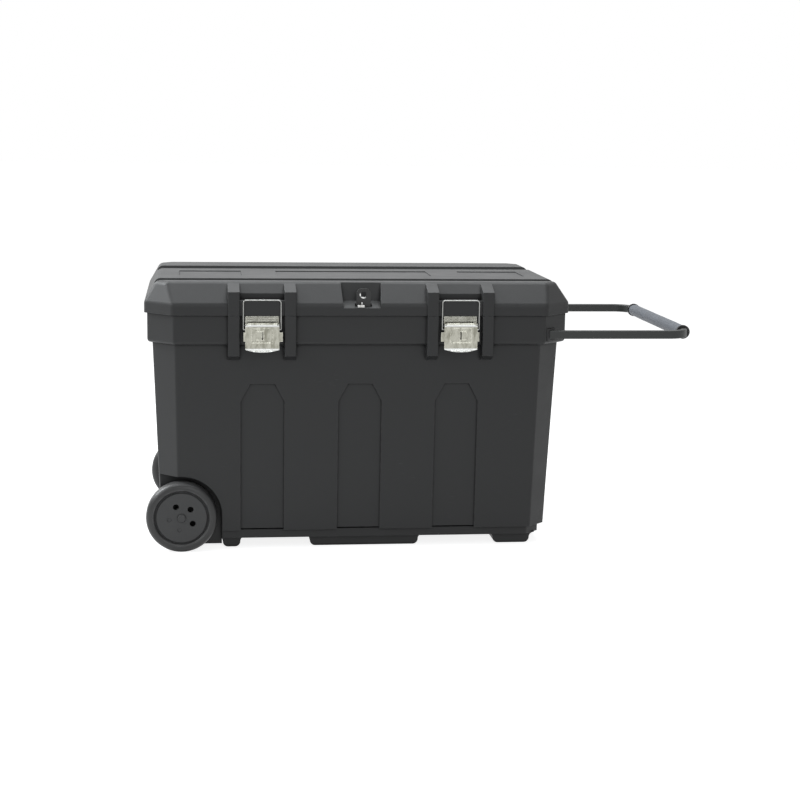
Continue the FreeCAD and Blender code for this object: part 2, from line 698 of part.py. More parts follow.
def lever_sheet():
    """The bent sheet of the lever: a nose round the pin, a flat face and a flared finger lip."""
    pin = (LATCH_PIN_Y, LATCH_PIN_Z)
    lip_z = LEVER_BOTTOM_Z - LEVER_BOW + LEVER_LIP + LEVER_SHEET
    lip = (LEVER_FACE_Y - LEVER_LIP, lip_z)
    edges = [arc_yz(pin, LEVER_NOSE, 90, 135, 180),
             arc_yz(lip, LEVER_LIP, 0, -45, -90),
             arc_yz(lip, LEVER_LIP + LEVER_SHEET, -90, -45, 0),
             arc_yz(pin, LEVER_NOSE - LEVER_SHEET, 180, 135, 90)]
    outline = []
    for edge, following in zip(edges, edges[1:] + edges[:1]):
        outline += [edge, Part.makeLine(edge.lastVertex().Point, following.firstVertex().Point)]
    face = Part.Face(Part.Wire(Part.sortEdges(outline)[0]))
    face.translate(V(-LEVER_HALF_WIDTH, 0, 0))
    return face.extrude(V(2.0 * LEVER_HALF_WIDTH, 0, 0))


def lever_outline():
    """The front outline of the lever, with a bowed lower edge."""
    half = LEVER_HALF_WIDTH
    top = LATCH_PIN_Z + LEVER_NOSE + OVERCUT
    front = LEVER_FACE_Y - LEVER_LIP - OVERCUT
    left, right = V(-half, front, LEVER_BOTTOM_Z), V(half, front, LEVER_BOTTOM_Z)
    bow = Part.Arc(left, V(0, front, LEVER_BOTTOM_Z - LEVER_BOW), right).toShape()
    rest = Part.makePolygon([right, V(half, front, top), V(-half, front, top), left])
    return Part.Face(Part.Wire([bow] + rest.Edges)).extrude(V(0, COLLAR_FRONT_Y - front, 0))


def embossing(x, sizes, y):
    """A stamped rectangle in the middle of the lever, LEVER_PANEL_DEPTH back from y, with sloping sides."""
    wires = []
    for shrink, depth in ((0.0, 0.0), (EMBOSS_RUN, LEVER_PANEL_DEPTH)):
        half, high = sizes[0] / 2.0 - shrink, sizes[1] / 2.0 - shrink
        corners = [(-half, -high), (half, -high), (half, high), (-half, high)]
        points = [V(x + across, y + depth, LEVER_PANEL_Z + up) for across, up in corners]
        wires.append(Part.makePolygon(points + points[:1]))
    return Part.makeLoft(wires, True, True)


def latch_lever(x):
    """The lever with its stamped panel and raised pad; the left and right levers are mirror images."""
    inward = -math.copysign(1.0, x)
    panel = embossing(0.0, LEVER_PANEL, LEVER_FACE_Y)
    pad = embossing(-inward * LEVER_PAD_OUT, LEVER_PAD, LEVER_FACE_Y)
    stamped = panel.cut(pad.mirror(V(0, LEVER_FACE_Y + LEVER_PANEL_DEPTH / 2.0, 0), V(0, 1, 0)))
    panel_back = embossing(0.0, LEVER_PANEL, LEVER_BACK_Y)
    sheet = join([lever_sheet().common(lever_outline()), panel_back])
    nose_half = LUG_IN - BASE_LUG_GAP
    before_face = LEVER_FACE_Y - OVERCUT
    cuts = [stamped]
    for side in SIDES:
        lug_room = (side * nose_half, side * (LEVER_HALF_WIDTH + OVERCUT))
        cuts.append(box(lug_room, (before_face, BASE_FRONT_Y),
                        (LATCH_PIN_Z, LATCH_PIN_Z + LEVER_NOSE + OVERCUT)))
    slot_wide, slot_high = LEVER_SLOT
    cuts.append(box(around(0.0, slot_wide / 2.0), (before_face, BASE_FRONT_Y),
                    around(LEVER_PANEL_Z, slot_high / 2.0)))
    solids = [sheet.cut(cuts)]
    back = BAIL_Y + FLANGE_BACK
    flange_z = LATCH_PIN_Z - FLANGE_LONG
    flange = [(LEVER_BACK_Y, flange_z), (back, flange_z + FLANGE_BACK), (back, LATCH_PIN_Z),
              (LATCH_PIN_Y + FLANGE_BACK / 2.0, LATCH_PIN_Z + FLANGE_BACK),
              (LATCH_PIN_Y - FLANGE_BACK / 2.0, LATCH_PIN_Z + FLANGE_BACK), (LEVER_BACK_Y, LATCH_PIN_Z)]
    ear_top = BAIL_PIVOT_Z - EAR_TOP_DROP
    for side in SIDES:
        ear = EAR_INWARD if side == inward else EAR_OUTWARD
        solids.append(side_prism(flange, (side * FLANGE_IN, side * LEVER_HALF_WIDTH)))
        solids.append(box((side * LEVER_HALF_WIDTH, side * (LEVER_HALF_WIDTH + ear)),
                          (LEVER_FACE_Y, LEVER_BACK_Y), (ear_top - EAR_HIGH, ear_top)))
    lever = join(solids)
    across = around(0.0, LEVER_HALF_WIDTH + OVERCUT)
    lever = lever.cut([rod_x(LATCH_PIN_RADIUS + RUNNING_GAP, across, LATCH_PIN_Y, LATCH_PIN_Z),
                       rod_x(BAIL_WIRE / 2.0 + RUNNING_GAP, across, BAIL_Y, BAIL_PIVOT_Z)])
    lever.translate(V(x, 0, 0))
    return lever


def bent_rod(points, bends, radius):
    """A round rod along straight runs with a bend at each inner point."""
    edges = []
    start = points[0]
    for before, corner, after, bend in zip(points, points[1:], points[2:], bends):
        inward = (before - corner).normalize()
        outward = (after - corner).normalize()
        half_turn = inward.getAngle(outward) / 2.0
        reach = bend / math.tan(half_turn)
        entry, leave = corner + inward * reach, corner + outward * reach
        middle_line = (inward + outward).normalize()
        middle = corner + middle_line * (bend / math.sin(half_turn) - bend)
        edges += [Part.makeLine(start, entry), Part.Arc(entry, middle, leave).toShape()]
        start = leave
    edges.append(Part.makeLine(start, points[-1]))
    section = Part.Wire(Part.makeCircle(radius, points[0], points[1] - points[0]))
    return Part.Wire(edges).makePipeShell([section], True, False)


def latch_bail(x):
    radius = BAIL_WIRE / 2.0
    top = KEEPER_Z + BAIL_OVER_KEEPER - radius
    half = BAIL_HALF_WIDTH
    inner = LEVER_HALF_WIDTH - BAIL_FOOT_IN
    places = [(-inner, BAIL_PIVOT_Z), (-half, BAIL_PIVOT_Z), (-half, top),
              (half, top), (half, BAIL_PIVOT_Z), (inner, BAIL_PIVOT_Z)]
    points = [V(x + across, BAIL_Y, z) for across, z in places]
    bends = [BAIL_FOOT_BEND, BAIL_BEND, BAIL_BEND, BAIL_FOOT_BEND]
    return bent_rod(points, bends, radius)


def latch_base(x):
    """The plate on the collar, with a ridged top and two lugs for the lever's pin."""
    top = LID_LIP_Z - LIP_GAP
    across = around(0.0, LEVER_HALF_WIDTH)
    solids = [box(across, (BASE_FRONT_Y, COLLAR_FRONT_Y), (LID_LIP_Z - BASE_HIGH, top))]
    for step in range(BASE_RIDGES):
        ridge_z = top - BASE_RIDGE_PITCH / 2.0 - step * BASE_RIDGE_PITCH
        solids.append(rod_x(BASE_RIDGE_RADIUS, across, BASE_FRONT_Y, ridge_z))
    for side in SIDES:
        span = tuple(sorted((side * LUG_IN, side * LUG_OUT)))
        solids.append(rod_x(BASE_LUG_RADIUS, span, LATCH_PIN_Y, LATCH_PIN_Z))
        solids.append(box(span, (LATCH_PIN_Y, BASE_FRONT_Y), around(LATCH_PIN_Z, BASE_LUG_RADIUS)))
    base = join(solids)
    base.translate(V(x, 0, 0))
    holes = [rod_x(LATCH_PIN_RADIUS, around(x, LEVER_HALF_WIDTH), LATCH_PIN_Y, LATCH_PIN_Z)]
    holes += [rod_y(RIVET_RADIUS, place_x, (BASE_FRONT_Y - BASE_RIDGE_RADIUS * 2.0, COLLAR_FRONT_Y), z)
              for place_x, z in rivet_places()]
    behind_collar = box(around(x, LID_LENGTH), (COLLAR_FRONT_Y, 0.0), (0.0, CREST_Z))
    return base.cut(holes).cut(behind_collar)


def latch_pin(x):
    half = LEVER_HALF_WIDTH + SIDE_GAP
    return rod_x(LATCH_PIN_RADIUS, around(x, half), LATCH_PIN_Y, LATCH_PIN_Z)


def rivet(x, z):
    """A rivet through a latch base and the collar, with its tail sunk in the collar's inner face."""
    shank = rod_y(RIVET_RADIUS, x, (BASE_FRONT_Y, -COLLAR_INNER_Y), z)
    head = rod_y(RIVET_HEAD_RADIUS, x, (BASE_FRONT_Y - RIVET_HEAD, BASE_FRONT_Y), z)
    tail = rod_y(RIVET_HEAD_RADIUS, x, (-COLLAR_INNER_Y - RIVET_HEAD, -COLLAR_INNER_Y), z)
    return join([shank, head, tail])


# Padlock eye
def padlock_eye():
    """The upright tab screwed inside the collar, which stands up through the lid's lock recess."""
    plate = box(around(EYE_X, EYE_HALF_WIDTH), (EYE_FRONT_Y, EYE_BACK_Y), (LID_LIP_Z - EYE_DROP, EYE_TOP_Z))
    top_corners = [edge for edge in plate.Edges
                   if edge.BoundBox.YLength > OVERCUT
                   and all(abs(v.Z - EYE_TOP_Z) < SAME for v in edge.Vertexes)]
    plate = plate.makeFillet(EYE_ROUND, top_corners)
    holes = [rod_y(EYE_HOLE_RADIUS, EYE_X, (EYE_FRONT_Y, EYE_BACK_Y), EYE_HOLE_Z)]
    holes += [rod_y(SCREW_RADIUS, x, (EYE_FRONT_Y, EYE_BACK_Y), z) for x, z in eye_screw_places()]
    return plate.cut(holes)


def front_screw(x, seat_y, z):
    """A screw from the inside into the front collar wall, with its head on seat_y."""
    shank = rod_y(SCREW_RADIUS, x, (-COLLAR_INNER_Y - SCREW_BITE, seat_y), z)
    head = rod_y(SCREW_HEAD_RADIUS, x, (seat_y, seat_y + SCREW_HEAD), z)
    return join([shank, head])


# Pull handle
HANDLE_REACH = LID_OUTLINE[0] + HANDLE_OUT
ARM_INNER_X = SLEEVE_FRONT_X - ARM_HELD
STOP_X = ARM_INNER_X + SLIDER_LONG + STOP_GAP
SLEEVE_BACK_X = ARM_INNER_X - SLIDER_END - HANDLE_TRAVEL - SLEEVE_END
BAR_HALF = ARM_Y - HANDLE_BEND
GRIP_HALF = BAR_HALF - GRIP_END_GAP - END_RING


def arm_section(x, wide, tall, corner):
    """The flat-sided tube's section across one front arm, as a face at one X."""
    half_wide, half_tall = wide / 2.0, tall / 2.0
    block = box((x, x + ARM_WIDE), around(-ARM_Y, half_wide), around(ARM_Z, half_tall))
    long_edges = [edge for edge in block.Edges if edge.BoundBox.XLength > SAME]
    faces = block.makeFillet(corner, long_edges).Faces
    return min(faces, key=lambda face: face.CenterOfMass.x)


def handle_sweep(shrink, inner_x):
    """Both arms, both bends and the cross bar of the tube, with its section drawn in by a wall."""
    wide, tall = ARM_WIDE - 2.0 * shrink, ARM_TALL - 2.0 * shrink
    corner = ARM_ROUND - shrink / 2.0
    bend_x = HANDLE_REACH - HANDLE_BEND
    arm = arm_section(inner_x, wide, tall, corner).extrude(V(bend_x - inner_x, 0, 0))
    turn_face = arm_section(bend_x, wide, tall, corner)
    bend = turn_face.revolve(V(bend_x, -BAR_HALF, 0), V(0, 0, 1), 90)
    bar_face = turn_face.copy()
    bar_face.rotate(V(bend_x, -BAR_HALF, 0), V(0, 0, 1), 90)
    bar = bar_face.extrude(V(0, 2.0 * BAR_HALF, 0))
    return join(both_sides(arm) + both_sides(bend) + [bar])


def handle_tube():
    return handle_sweep(0.0, ARM_INNER_X).cut(handle_sweep(ARM_WALL, ARM_INNER_X - OVERCUT))


def handle_grip(tube_space):
    grip = rod_y(GRIP_RADIUS, HANDLE_REACH, around(0.0, GRIP_HALF), ARM_Z)
    ends = [edge for edge in grip.Edges if edge.Closed]
    return grip.makeFillet(ARM_ROUND, ends).cut(tube_space)


def grip_end_ring(tube_space):
    ring = rod_y(END_RING_RADIUS, HANDLE_REACH, (-GRIP_HALF - END_RING, -GRIP_HALF), ARM_Z)
    return ring.cut(tube_space)


def arm_space(x_range, gap):
    """A straight block round the front arm's section, larger by a gap on every side."""
    return box(x_range, around(-ARM_Y, ARM_WIDE / 2.0 + gap), around(ARM_Z, ARM_TALL / 2.0 + gap))


def arm_slider(tube_space):
    """A nylon glide on the inner end of one arm."""
    block = arm_space((ARM_INNER_X - SLIDER_END, ARM_INNER_X + SLIDER_LONG), SLIDER_WALL)
    return block.cut(tube_space)


def handle_sleeve():
    """The channel on the collar's ledge that the front arm slides in, with a step that stops its glide."""
    outer = sleeve_block((SLEEVE_BACK_X, SLEEVE_FRONT_X))
    top = ARM_Z + SLEEVE_HALF_TALL
    seat = (-COLLAR_INNER_Y, -COLLAR_INNER_Y + SLEEVE_WALL)
    tabs = [box(around(x, SLEEVE_TAB_HALF), seat, (top, top + SLEEVE_TAB)) for x in SLEEVE_TAB_X]
    glide_way = arm_space((SLEEVE_BACK_X - OVERCUT, STOP_X), SLIDER_WALL + SLIDE_GAP)
    arm_way = arm_space((STOP_X, SLEEVE_FRONT_X + OVERCUT), SLIDE_GAP)
    holes = [rod_y(SCREW_RADIUS, x, seat, z) for x, z in sleeve_screw_places()]
    return join([outer] + tabs).cut([glide_way, arm_way] + holes)


def handle_guide():
    """The bush where the front arm leaves the collar's corner, cut to stand just proud of it."""
    proud = inset(COLLAR, -GUIDE_PROUD)
    block = guide_block().common(octagon_body([(COLLAR_Z, proud), (LID_LIP_Z, proud)]))
    return block.cut(arm_space((SLEEVE_FRONT_X - OVERCUT, LID_LENGTH), SLIDE_GAP))


def sleeve_screws():
    screws = [front_screw(x, -COLLAR_INNER_Y + SLEEVE_WALL, z) for x, z in sleeve_screw_places()]
    return screws + [mirrored_y(screw) for screw in screws]


# Wheels, for the front; the back ones are mirrored
HUB_FACE_Y = WHEEL_FACE_Y - DISC_STEP
HUB_INNER_Y = WELL_INNER_Y + WASHER_THICK + SIDE_GAP
AXLE_END_Y = HUB_FACE_Y + SIDE_GAP + CAP_SOCKET


def wheel_spot(radius, y):
    return V(WHEEL_X + radius, -y, WHEEL_RADIUS)


def turned(edges):
    """A profile of radius and distance from the middle of the box, turned round the axle."""
    face = Part.Face(Part.Wire(edges))
    return face.revolve(V(WHEEL_X, 0, WHEEL_RADIUS), V(0, 1, 0), 360)


def turned_polygon(points):
    spots = [wheel_spot(radius, y) for radius, y in points]
    return turned(Part.makePolygon(spots + spots[:1]).Edges)


def tyre():
    """The tread ring, with rounded shoulders and a bevel down to the disc."""
    outer, inner = WHEEL_FACE_Y, WHEEL_FACE_Y - TYRE_WIDE
    r = TYRE_ROUND
    bend = r - r / ROOT_TWO
    out, seat = WHEEL_RADIUS, TYRE_SEAT_RADIUS
    front = [wheel_spot(out - r, outer), wheel_spot(out - bend, outer - bend), wheel_spot(out, outer - r)]
    back = [wheel_spot(out, inner + r), wheel_spot(out - bend, inner + bend), wheel_spot(out - r, inner)]
    bevel = [wheel_spot(seat, outer - DISC_STEP), wheel_spot(seat + DISC_STEP, outer)]
    edges = [Part.Arc(*front).toShape(), Part.makeLine(front[-1], back[0]), Part.Arc(*back).toShape()]
    edges += Part.makePolygon([back[-1], wheel_spot(seat, inner)] + bevel + [front[0]]).Edges
    return turned(edges)


def wheel_hub():
    """The moulded wheel: a rim under the tread, a disc with a groove and holes, a core on the axle."""
    seat, rim = TYRE_SEAT_RADIUS, TYRE_SEAT_RADIUS - RIM_THICK
    back = WHEEL_FACE_Y - TYRE_WIDE
    disc_back = HUB_FACE_Y - DISC_THICK
    groove = RIM_THICK / 2.0
    bore = AXLE_RADIUS + RUNNING_GAP
    points = [(bore, HUB_INNER_Y), (HUB_CORE_RADIUS, HUB_INNER_Y), (HUB_CORE_RADIUS, disc_back),
              (rim, disc_back), (rim, back), (seat, back),
              (seat, HUB_FACE_Y - groove), (seat - groove, HUB_FACE_Y - groove),
              (seat - 2.0 * groove, HUB_FACE_Y), (bore, HUB_FACE_Y)]
    hub = turned_polygon(points)
    holes = []
    for step in range(HUB_HOLES):
        turn = math.radians(HUB_HOLE_TURN + step * 360.0 / HUB_HOLES)
        hole_x = WHEEL_X + HUB_HOLE_CIRCLE * math.cos(turn)
        hole_z = WHEEL_RADIUS + HUB_HOLE_CIRCLE * math.sin(turn)
        if step in HUB_OPEN_HOLES:
            holes.append(rod_y(HUB_HOLE_RADIUS, hole_x, (-HUB_FACE_Y, -disc_back), hole_z))
        else:
            dimple = (-HUB_FACE_Y, -HUB_FACE_Y + HUB_DIMPLE_DEPTH)
            holes.append(rod_y(HUB_DIMPLE_RADIUS, hole_x, dimple, hole_z))
    return hub.cut(holes)


def wheel_washer():
    far = WELL_INNER_Y + WASHER_THICK
    return turned_polygon([(AXLE_RADIUS, WELL_INNER_Y), (WASHER_RADIUS, WELL_INNER_Y),
                           (WASHER_RADIUS, far), (AXLE_RADIUS, far)])


def axle_cap():
    """A push-on cap over the axle's end, with a bevelled rim."""
    start = HUB_FACE_Y + SIDE_GAP
    end = start + CAP_THICK
    bevel = CAP_THICK - CAP_SOCKET
    socket = [(0.0, AXLE_END_Y), (AXLE_RADIUS, AXLE_END_Y), (AXLE_RADIUS, start)]
    return turned_polygon(socket + [(CAP_RADIUS, start), (CAP_RADIUS, end - bevel),
                                    (CAP_RADIUS - bevel, end), (0.0, end)])


def main():
    os.makedirs("parts", exist_ok=True)
    save("tub", [tub()])
    save("lid", [lid()])
    save("lid_gasket", [lid_gasket()])
    pins = []
    for side in SIDES:
        spans = hinge_spans(side * HINGE_X)
        pins.append(rod_x(HINGE_PIN_RADIUS, (spans[0][0], spans[2][1]), HINGE_Y, LID_LIP_Z))
    save("hinge_pins", pins)
    save("padlock_eye", [padlock_eye()])
    save("padlock_eye_screws", [front_screw(x, EYE_BACK_Y, z) for x, z in eye_screw_places()])
    for name, x in LATCHES:
        save("latch_base_" + name, [latch_base(x)])
        save("latch_pin_" + name, [latch_pin(x)])
        save("latch_lever_" + name, [latch_lever(x)])
        save("latch_bail_" + name, [latch_bail(x)])
    save("latch_rivets", [rivet(x, z) for x, z in rivet_places()])
    tube_space = handle_sweep(0.0, ARM_INNER_X)
    save("handle_tube", [handle_tube()])
    save("handle_grip", [handle_grip(tube_space)])
    save("grip_end_rings", both_sides(grip_end_ring(tube_space)))
    save("arm_sliders", both_sides(arm_slider(tube_space)))
    save("handle_sleeve_front", [handle_sleeve()])
    save("handle_sleeve_rear", [mirrored_y(handle_sleeve())])
    save("handle_guides", both_sides(handle_guide()))
    save("sleeve_screws", sleeve_screws())
    save("axle", [rod_y(AXLE_RADIUS, WHEEL_X, around(0.0, AXLE_END_Y), WHEEL_RADIUS)])
    save("axle_caps", both_sides(axle_cap()))
    save("wheel_washers", both_sides(wheel_washer()))
    for name, place in (("front", lambda shape: shape), ("rear", mirrored_y)):
        save("wheel_hub_" + name, [place(wheel_hub())])
        save("tyre_" + name, [place(tyre())])


if __name__ == "__main__":
    main()
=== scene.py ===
# %% [markdown]
# This lesson dresses a wheeled jobsite storage box: a moulded black tub with a hinged lid, two plated draw
# latches, a padlock eye, two plastic wheels and a pull handle with a foam grip. The solids come from the
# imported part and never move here. Blender adds the finish of every surface, the soft grip, a small stop by
# the padlock eye and the fasteners. The first cell loads the solids and measures them.

# %% Load the solids
import json
import math

import bmesh
import bpy
from mathutils import Matrix, Vector


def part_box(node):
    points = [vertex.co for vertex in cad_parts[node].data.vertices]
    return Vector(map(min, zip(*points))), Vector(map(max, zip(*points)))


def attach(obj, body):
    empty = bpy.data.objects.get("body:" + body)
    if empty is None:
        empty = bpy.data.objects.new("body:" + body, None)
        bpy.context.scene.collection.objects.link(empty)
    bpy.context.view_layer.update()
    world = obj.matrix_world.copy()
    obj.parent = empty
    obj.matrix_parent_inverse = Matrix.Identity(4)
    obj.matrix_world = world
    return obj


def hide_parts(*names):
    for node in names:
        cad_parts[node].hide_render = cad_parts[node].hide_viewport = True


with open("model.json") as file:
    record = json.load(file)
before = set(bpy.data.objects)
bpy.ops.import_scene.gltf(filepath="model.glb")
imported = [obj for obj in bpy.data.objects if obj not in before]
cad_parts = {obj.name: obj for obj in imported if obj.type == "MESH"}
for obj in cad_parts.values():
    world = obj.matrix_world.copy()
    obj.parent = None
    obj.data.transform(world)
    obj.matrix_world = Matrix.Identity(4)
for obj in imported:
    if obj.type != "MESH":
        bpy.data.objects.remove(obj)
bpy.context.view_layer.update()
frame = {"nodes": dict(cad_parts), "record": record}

nodes = frame["nodes"]
MM = 0.001

# %% [markdown]
# The photograph was taken from in front, a little to the left of the middle and above the lid, with a long
# lens. A camera is easiest to repeat when it is written as a place, three turns and a focal length, so the
# cell builds its three axes from yaw, pitch and roll instead of aiming it at a target. The values were
# fitted to points of the box that show in the photograph.

# %% Camera
CAMERA_PLACE = Vector((-0.364566, -4.0115, 0.978839))
CAMERA_YAW = math.radians(6.93711)
CAMERA_PITCH = math.radians(9.5285)
CAMERA_ROLL = math.radians(-0.84964)
SENSOR_MM = 36.0
LENS_MM = 75.876


def camera_matrix():
    forward = Vector((math.sin(CAMERA_YAW) * math.cos(CAMERA_PITCH),
                      math.cos(CAMERA_YAW) * math.cos(CAMERA_PITCH), -math.sin(CAMERA_PITCH)))
    level = Vector((math.cos(CAMERA_YAW), -math.sin(CAMERA_YAW), 0.0))
    down = forward.cross(level)
    right = math.cos(CAMERA_ROLL) * level + math.sin(CAMERA_ROLL) * down
    down = math.cos(CAMERA_ROLL) * down - math.sin(CAMERA_ROLL) * level
    turned = Matrix((right, -down, -forward)).transposed().to_4x4()
    return Matrix.Translation(CAMERA_PLACE) @ turned


camera_data = bpy.data.cameras.new("camera")
camera_data.sensor_width = SENSOR_MM
camera_data.lens = LENS_MM
camera = bpy.data.objects.new("camera", camera_data)
camera.matrix_world = camera_matrix()
bpy.context.scene.collection.objects.link(camera)
bpy.context.scene.camera = camera
bpy.context.scene.view_settings.view_transform = "Standard"
print("camera", [round(v, 3) for v in camera.location], "lens", LENS_MM)

# %% [markdown]
# The studio and every finish are small node trees, and they share a few tools. `place` adds a node, links
# the inputs that are sockets and sets the ones that are plain values, so that a recipe reads as a list of
# steps. Writing every node and link out would work as well, but the recipe would be lost in it. The Mix
# node has several sockets with the same name, so its colour sockets are reached by number.

# %% Node helpers
WHITE = (1.0, 1.0, 1.0, 1.0)
MIX_MASK, MIX_BASE, MIX_OVER, MIX_RESULT = 0, 6, 7, 2


def set_or_link(tree, socket, value):
    if isinstance(value, bpy.types.NodeSocket):
        tree.links.new(value, socket)
    else:
        socket.default_value = value


def place(tree, kind, inputs=None, **settings):
    node = tree.nodes.new("ShaderNode" + kind)
    for name, value in settings.items():
        setattr(node, name, value)
    for name, value in (inputs or {}).items():
        set_or_link(tree, node.inputs[name], value)
    return node


def maths(tree, operation, *values, clamp=False):
    return place(tree, "Math", dict(enumerate(values)), operation=operation, use_clamp=clamp).outputs[0]


def vector_maths(tree, operation, *values):
    return place(tree, "VectorMath", dict(enumerate(values)), operation=operation)


def spread(tree, value, low, high, to_low=0.0, to_high=1.0):
    """Stretches the part of a value between low and high over a new range."""
    limits = {"Value": value, "From Min": low, "From Max": high, "To Min": to_low, "To Max": to_high}
    return place(tree, "MapRange", limits).outputs["Result"]


def tinted(tree, mask, base, over):
    """The base colour with another one laid over it where the mask is white."""
    mix = place(tree, "Mix", {MIX_MASK: mask, MIX_BASE: base, MIX_OVER: over}, data_type="RGBA")
    return mix.outputs[MIX_RESULT]


def noise(tree, where, scale, detail, roughness=0.5):
    inputs = {"Vector": where, "Scale": scale, "Detail": detail, "Roughness": roughness}
    return place(tree, "TexNoise", inputs).outputs["Fac"]


def object_place(tree):
    return place(tree, "TexCoord").outputs["Object"]


def opaque(rgb, gain=1.0):
    """A colour with its alpha, made lighter or darker by the gain."""
    return tuple(min(1.0, gain * part) for part in rgb) + (1.0,)


def new_finish(name):
    """A new material, its node tree and its Principled shader."""
    material = bpy.data.materials.new(name)
    material.use_nodes = True
    return material, material.node_tree, material.node_tree.nodes["Principled BSDF"]


def shader_group(name, inputs, outputs):
    tree = bpy.data.node_groups.new(name, "ShaderNodeTree")
    for label, value in inputs.items():
        socket = tree.interface.new_socket(label, in_out="INPUT", socket_type="NodeSocketFloat")
        socket.default_value = value
    for label, kind in outputs.items():
        tree.interface.new_socket(label, in_out="OUTPUT", socket_type="NodeSocket" + kind)
    return tree, tree.nodes.new("NodeGroupInput"), tree.nodes.new("NodeGroupOutput")


def use_group(tree, group, values=None):
    node = tree.nodes.new("ShaderNodeGroup")
    node.node_tree = group
    for label, value in (values or {}).items():
        node.inputs[label].default_value = value
    return node


print("node helpers ready")

# %% [markdown]
# Black plastic is mostly seen by what it mirrors, so the studio matters as much as the colour. A wide soft
# lamp hangs over the box, one stands to the left, a weak one fills the front, and one behind the left end
# draws a bright rim on the lid's corner and on the wheel. The world and the floor are white to the camera
# and to mirrored rays, but light the box only gently, so the background stays white without washing out the
# plastic.

# %% Studio light
WORLD_LIGHT = 0.32
LAMP_TINT = (0.95, 0.98, 1.0)
LAMPS = {
    "overhead_lamp": {"stand": (0.0, 0.2, 2.9), "aim": (0.0, 0.0, 0.4), "size": (2.6, 2.0), "watts": 73.0},
    "left_lamp": {"stand": (-2.7, -1.3, 1.9), "aim": (-0.1, 0.0, 0.3), "size": (1.5, 1.5), "watts": 24.0},
    "front_lamp": {"stand": (0.6, -4.0, 2.2), "aim": (0.0, 0.0, 0.3), "size": (2.4, 1.6), "watts": 24.0},
    "rim_lamp": {"stand": (-2.4, 0.9, 2.2), "aim": (-0.2, 0.0, 0.4), "size": (1.4, 1.4), "watts": 92.0},
}


def soft_lamp(name, stand, aim, size, watts):
    lamp = bpy.data.lights.new(name, "AREA")
    lamp.shape = "RECTANGLE"
    lamp.color = LAMP_TINT
    lamp.size, lamp.size_y = size
    lamp.energy = watts
    holder = bpy.data.objects.new(name, lamp)
    holder.location = stand
    holder.rotation_euler = (Vector(aim) - Vector(stand)).to_track_quat("-Z", "Y").to_euler()
    bpy.context.scene.collection.objects.link(holder)


def seen_white(tree):
    """1 for rays from the camera and for mirrored or refracted rays, 0 for rays that gather light."""
    path = place(tree, "LightPath")
    seen = maths(tree, "MAXIMUM", path.outputs["Is Camera Ray"], path.outputs["Is Glossy Ray"])
    return maths(tree, "MAXIMUM", seen, path.outputs["Is Transmission Ray"])


for lamp_name, facts in LAMPS.items():
    soft_lamp(lamp_name, **facts)

world = bpy.data.worlds.new("white_studio")
world.use_nodes = True
bpy.context.scene.world = world
world_tree = world.node_tree
background = world_tree.nodes["Background"]
background.inputs["Color"].default_value = WHITE
strength = spread(world_tree, seen_white(world_tree), 0.0, 1.0, WORLD_LIGHT, 1.0)
world_tree.links.new(strength, background.inputs["Strength"])
print("lamps:", len(LAMPS), "world light", WORLD_LIGHT)

# %% [markdown]
# The floor is one large sheet. It adds a soft glow of its own to camera rays, so that it is white where
# nothing shades it and still turns grey in the contact shadow under the tub and wheels. More light on a
# plain floor would whiten it too, but would also fall on the box.

# %% Floor
FLOOR_HALF = 30.0
FLOOR_GLOW = 0.85
FLOOR_COLOUR = (0.5, 0.5, 0.5, 1.0)


def make_floor():
    mesh = bpy.data.meshes.new("floor")
    corners = [(-FLOOR_HALF, -FLOOR_HALF, 0.0), (FLOOR_HALF, -FLOOR_HALF, 0.0),
               (FLOOR_HALF, FLOOR_HALF, 0.0), (-FLOOR_HALF, FLOOR_HALF, 0.0)]
    mesh.from_pydata(corners, [], [(0, 1, 2, 3)])
    floor = bpy.data.objects.new("floor", mesh)
    bpy.context.scene.collection.objects.link(floor)
    material, tree, shader = new_finish("white_floor")
    shader.inputs["Base Color"].default_value = FLOOR_COLOUR
    shader.inputs["Roughness"].default_value = 1.0
    shader.inputs["Specular IOR Level"].default_value = 0.0
    shader.inputs["Emission Color"].default_value = WHITE
    glow = maths(tree, "MULTIPLY", seen_white(tree), FLOOR_GLOW)
    tree.links.new(glow, shader.inputs["Emission Strength"])
    mesh.materials.append(material)


make_floor()
print("floor", 2 * FLOOR_HALF, "m")

# %% [markdown]
# Five effects turn up on several surfaces, so each is built once as a shader group and placed in every
# finish that needs it, with that finish's own values. The first is moulded grain: the fine stipple that a
# textured mould leaves, with a slow mottle under it. Grain made of faces would need millions of them, so it
# is a height for a bump node.

# %% Moulded grain
GRAIN_INPUTS = {"Grain Scale": 900.0, "Mottle Scale": 14.0}
MOTTLE_RANGE = (0.3, 0.7)
GRAIN_CELL_SHARE = 0.6


def build_grain():
    tree, given, result = shader_group("moulded_grain", GRAIN_INPUTS, {"Height": "Float", "Mottle": "Float"})
    where = object_place(tree)
    fine = noise(tree, where, given.outputs["Grain Scale"], detail=3.0, roughness=0.6)
    cells = place(tree, "TexVoronoi", {"Vector": where, "Scale": given.outputs["Grain Scale"]})
    height = maths(tree, "MULTIPLY_ADD", cells.outputs["Distance"], GRAIN_CELL_SHARE, fine)
    slow = noise(tree, where, given.outputs["Mottle Scale"], detail=5.0, roughness=0.62)
    tree.links.new(height, result.inputs["Height"])
    tree.links.new(spread(tree, slow, *MOTTLE_RANGE), result.inputs["Mottle"])
    return tree


MOULDED_GRAIN = build_grain()
print("group", MOULDED_GRAIN.name)
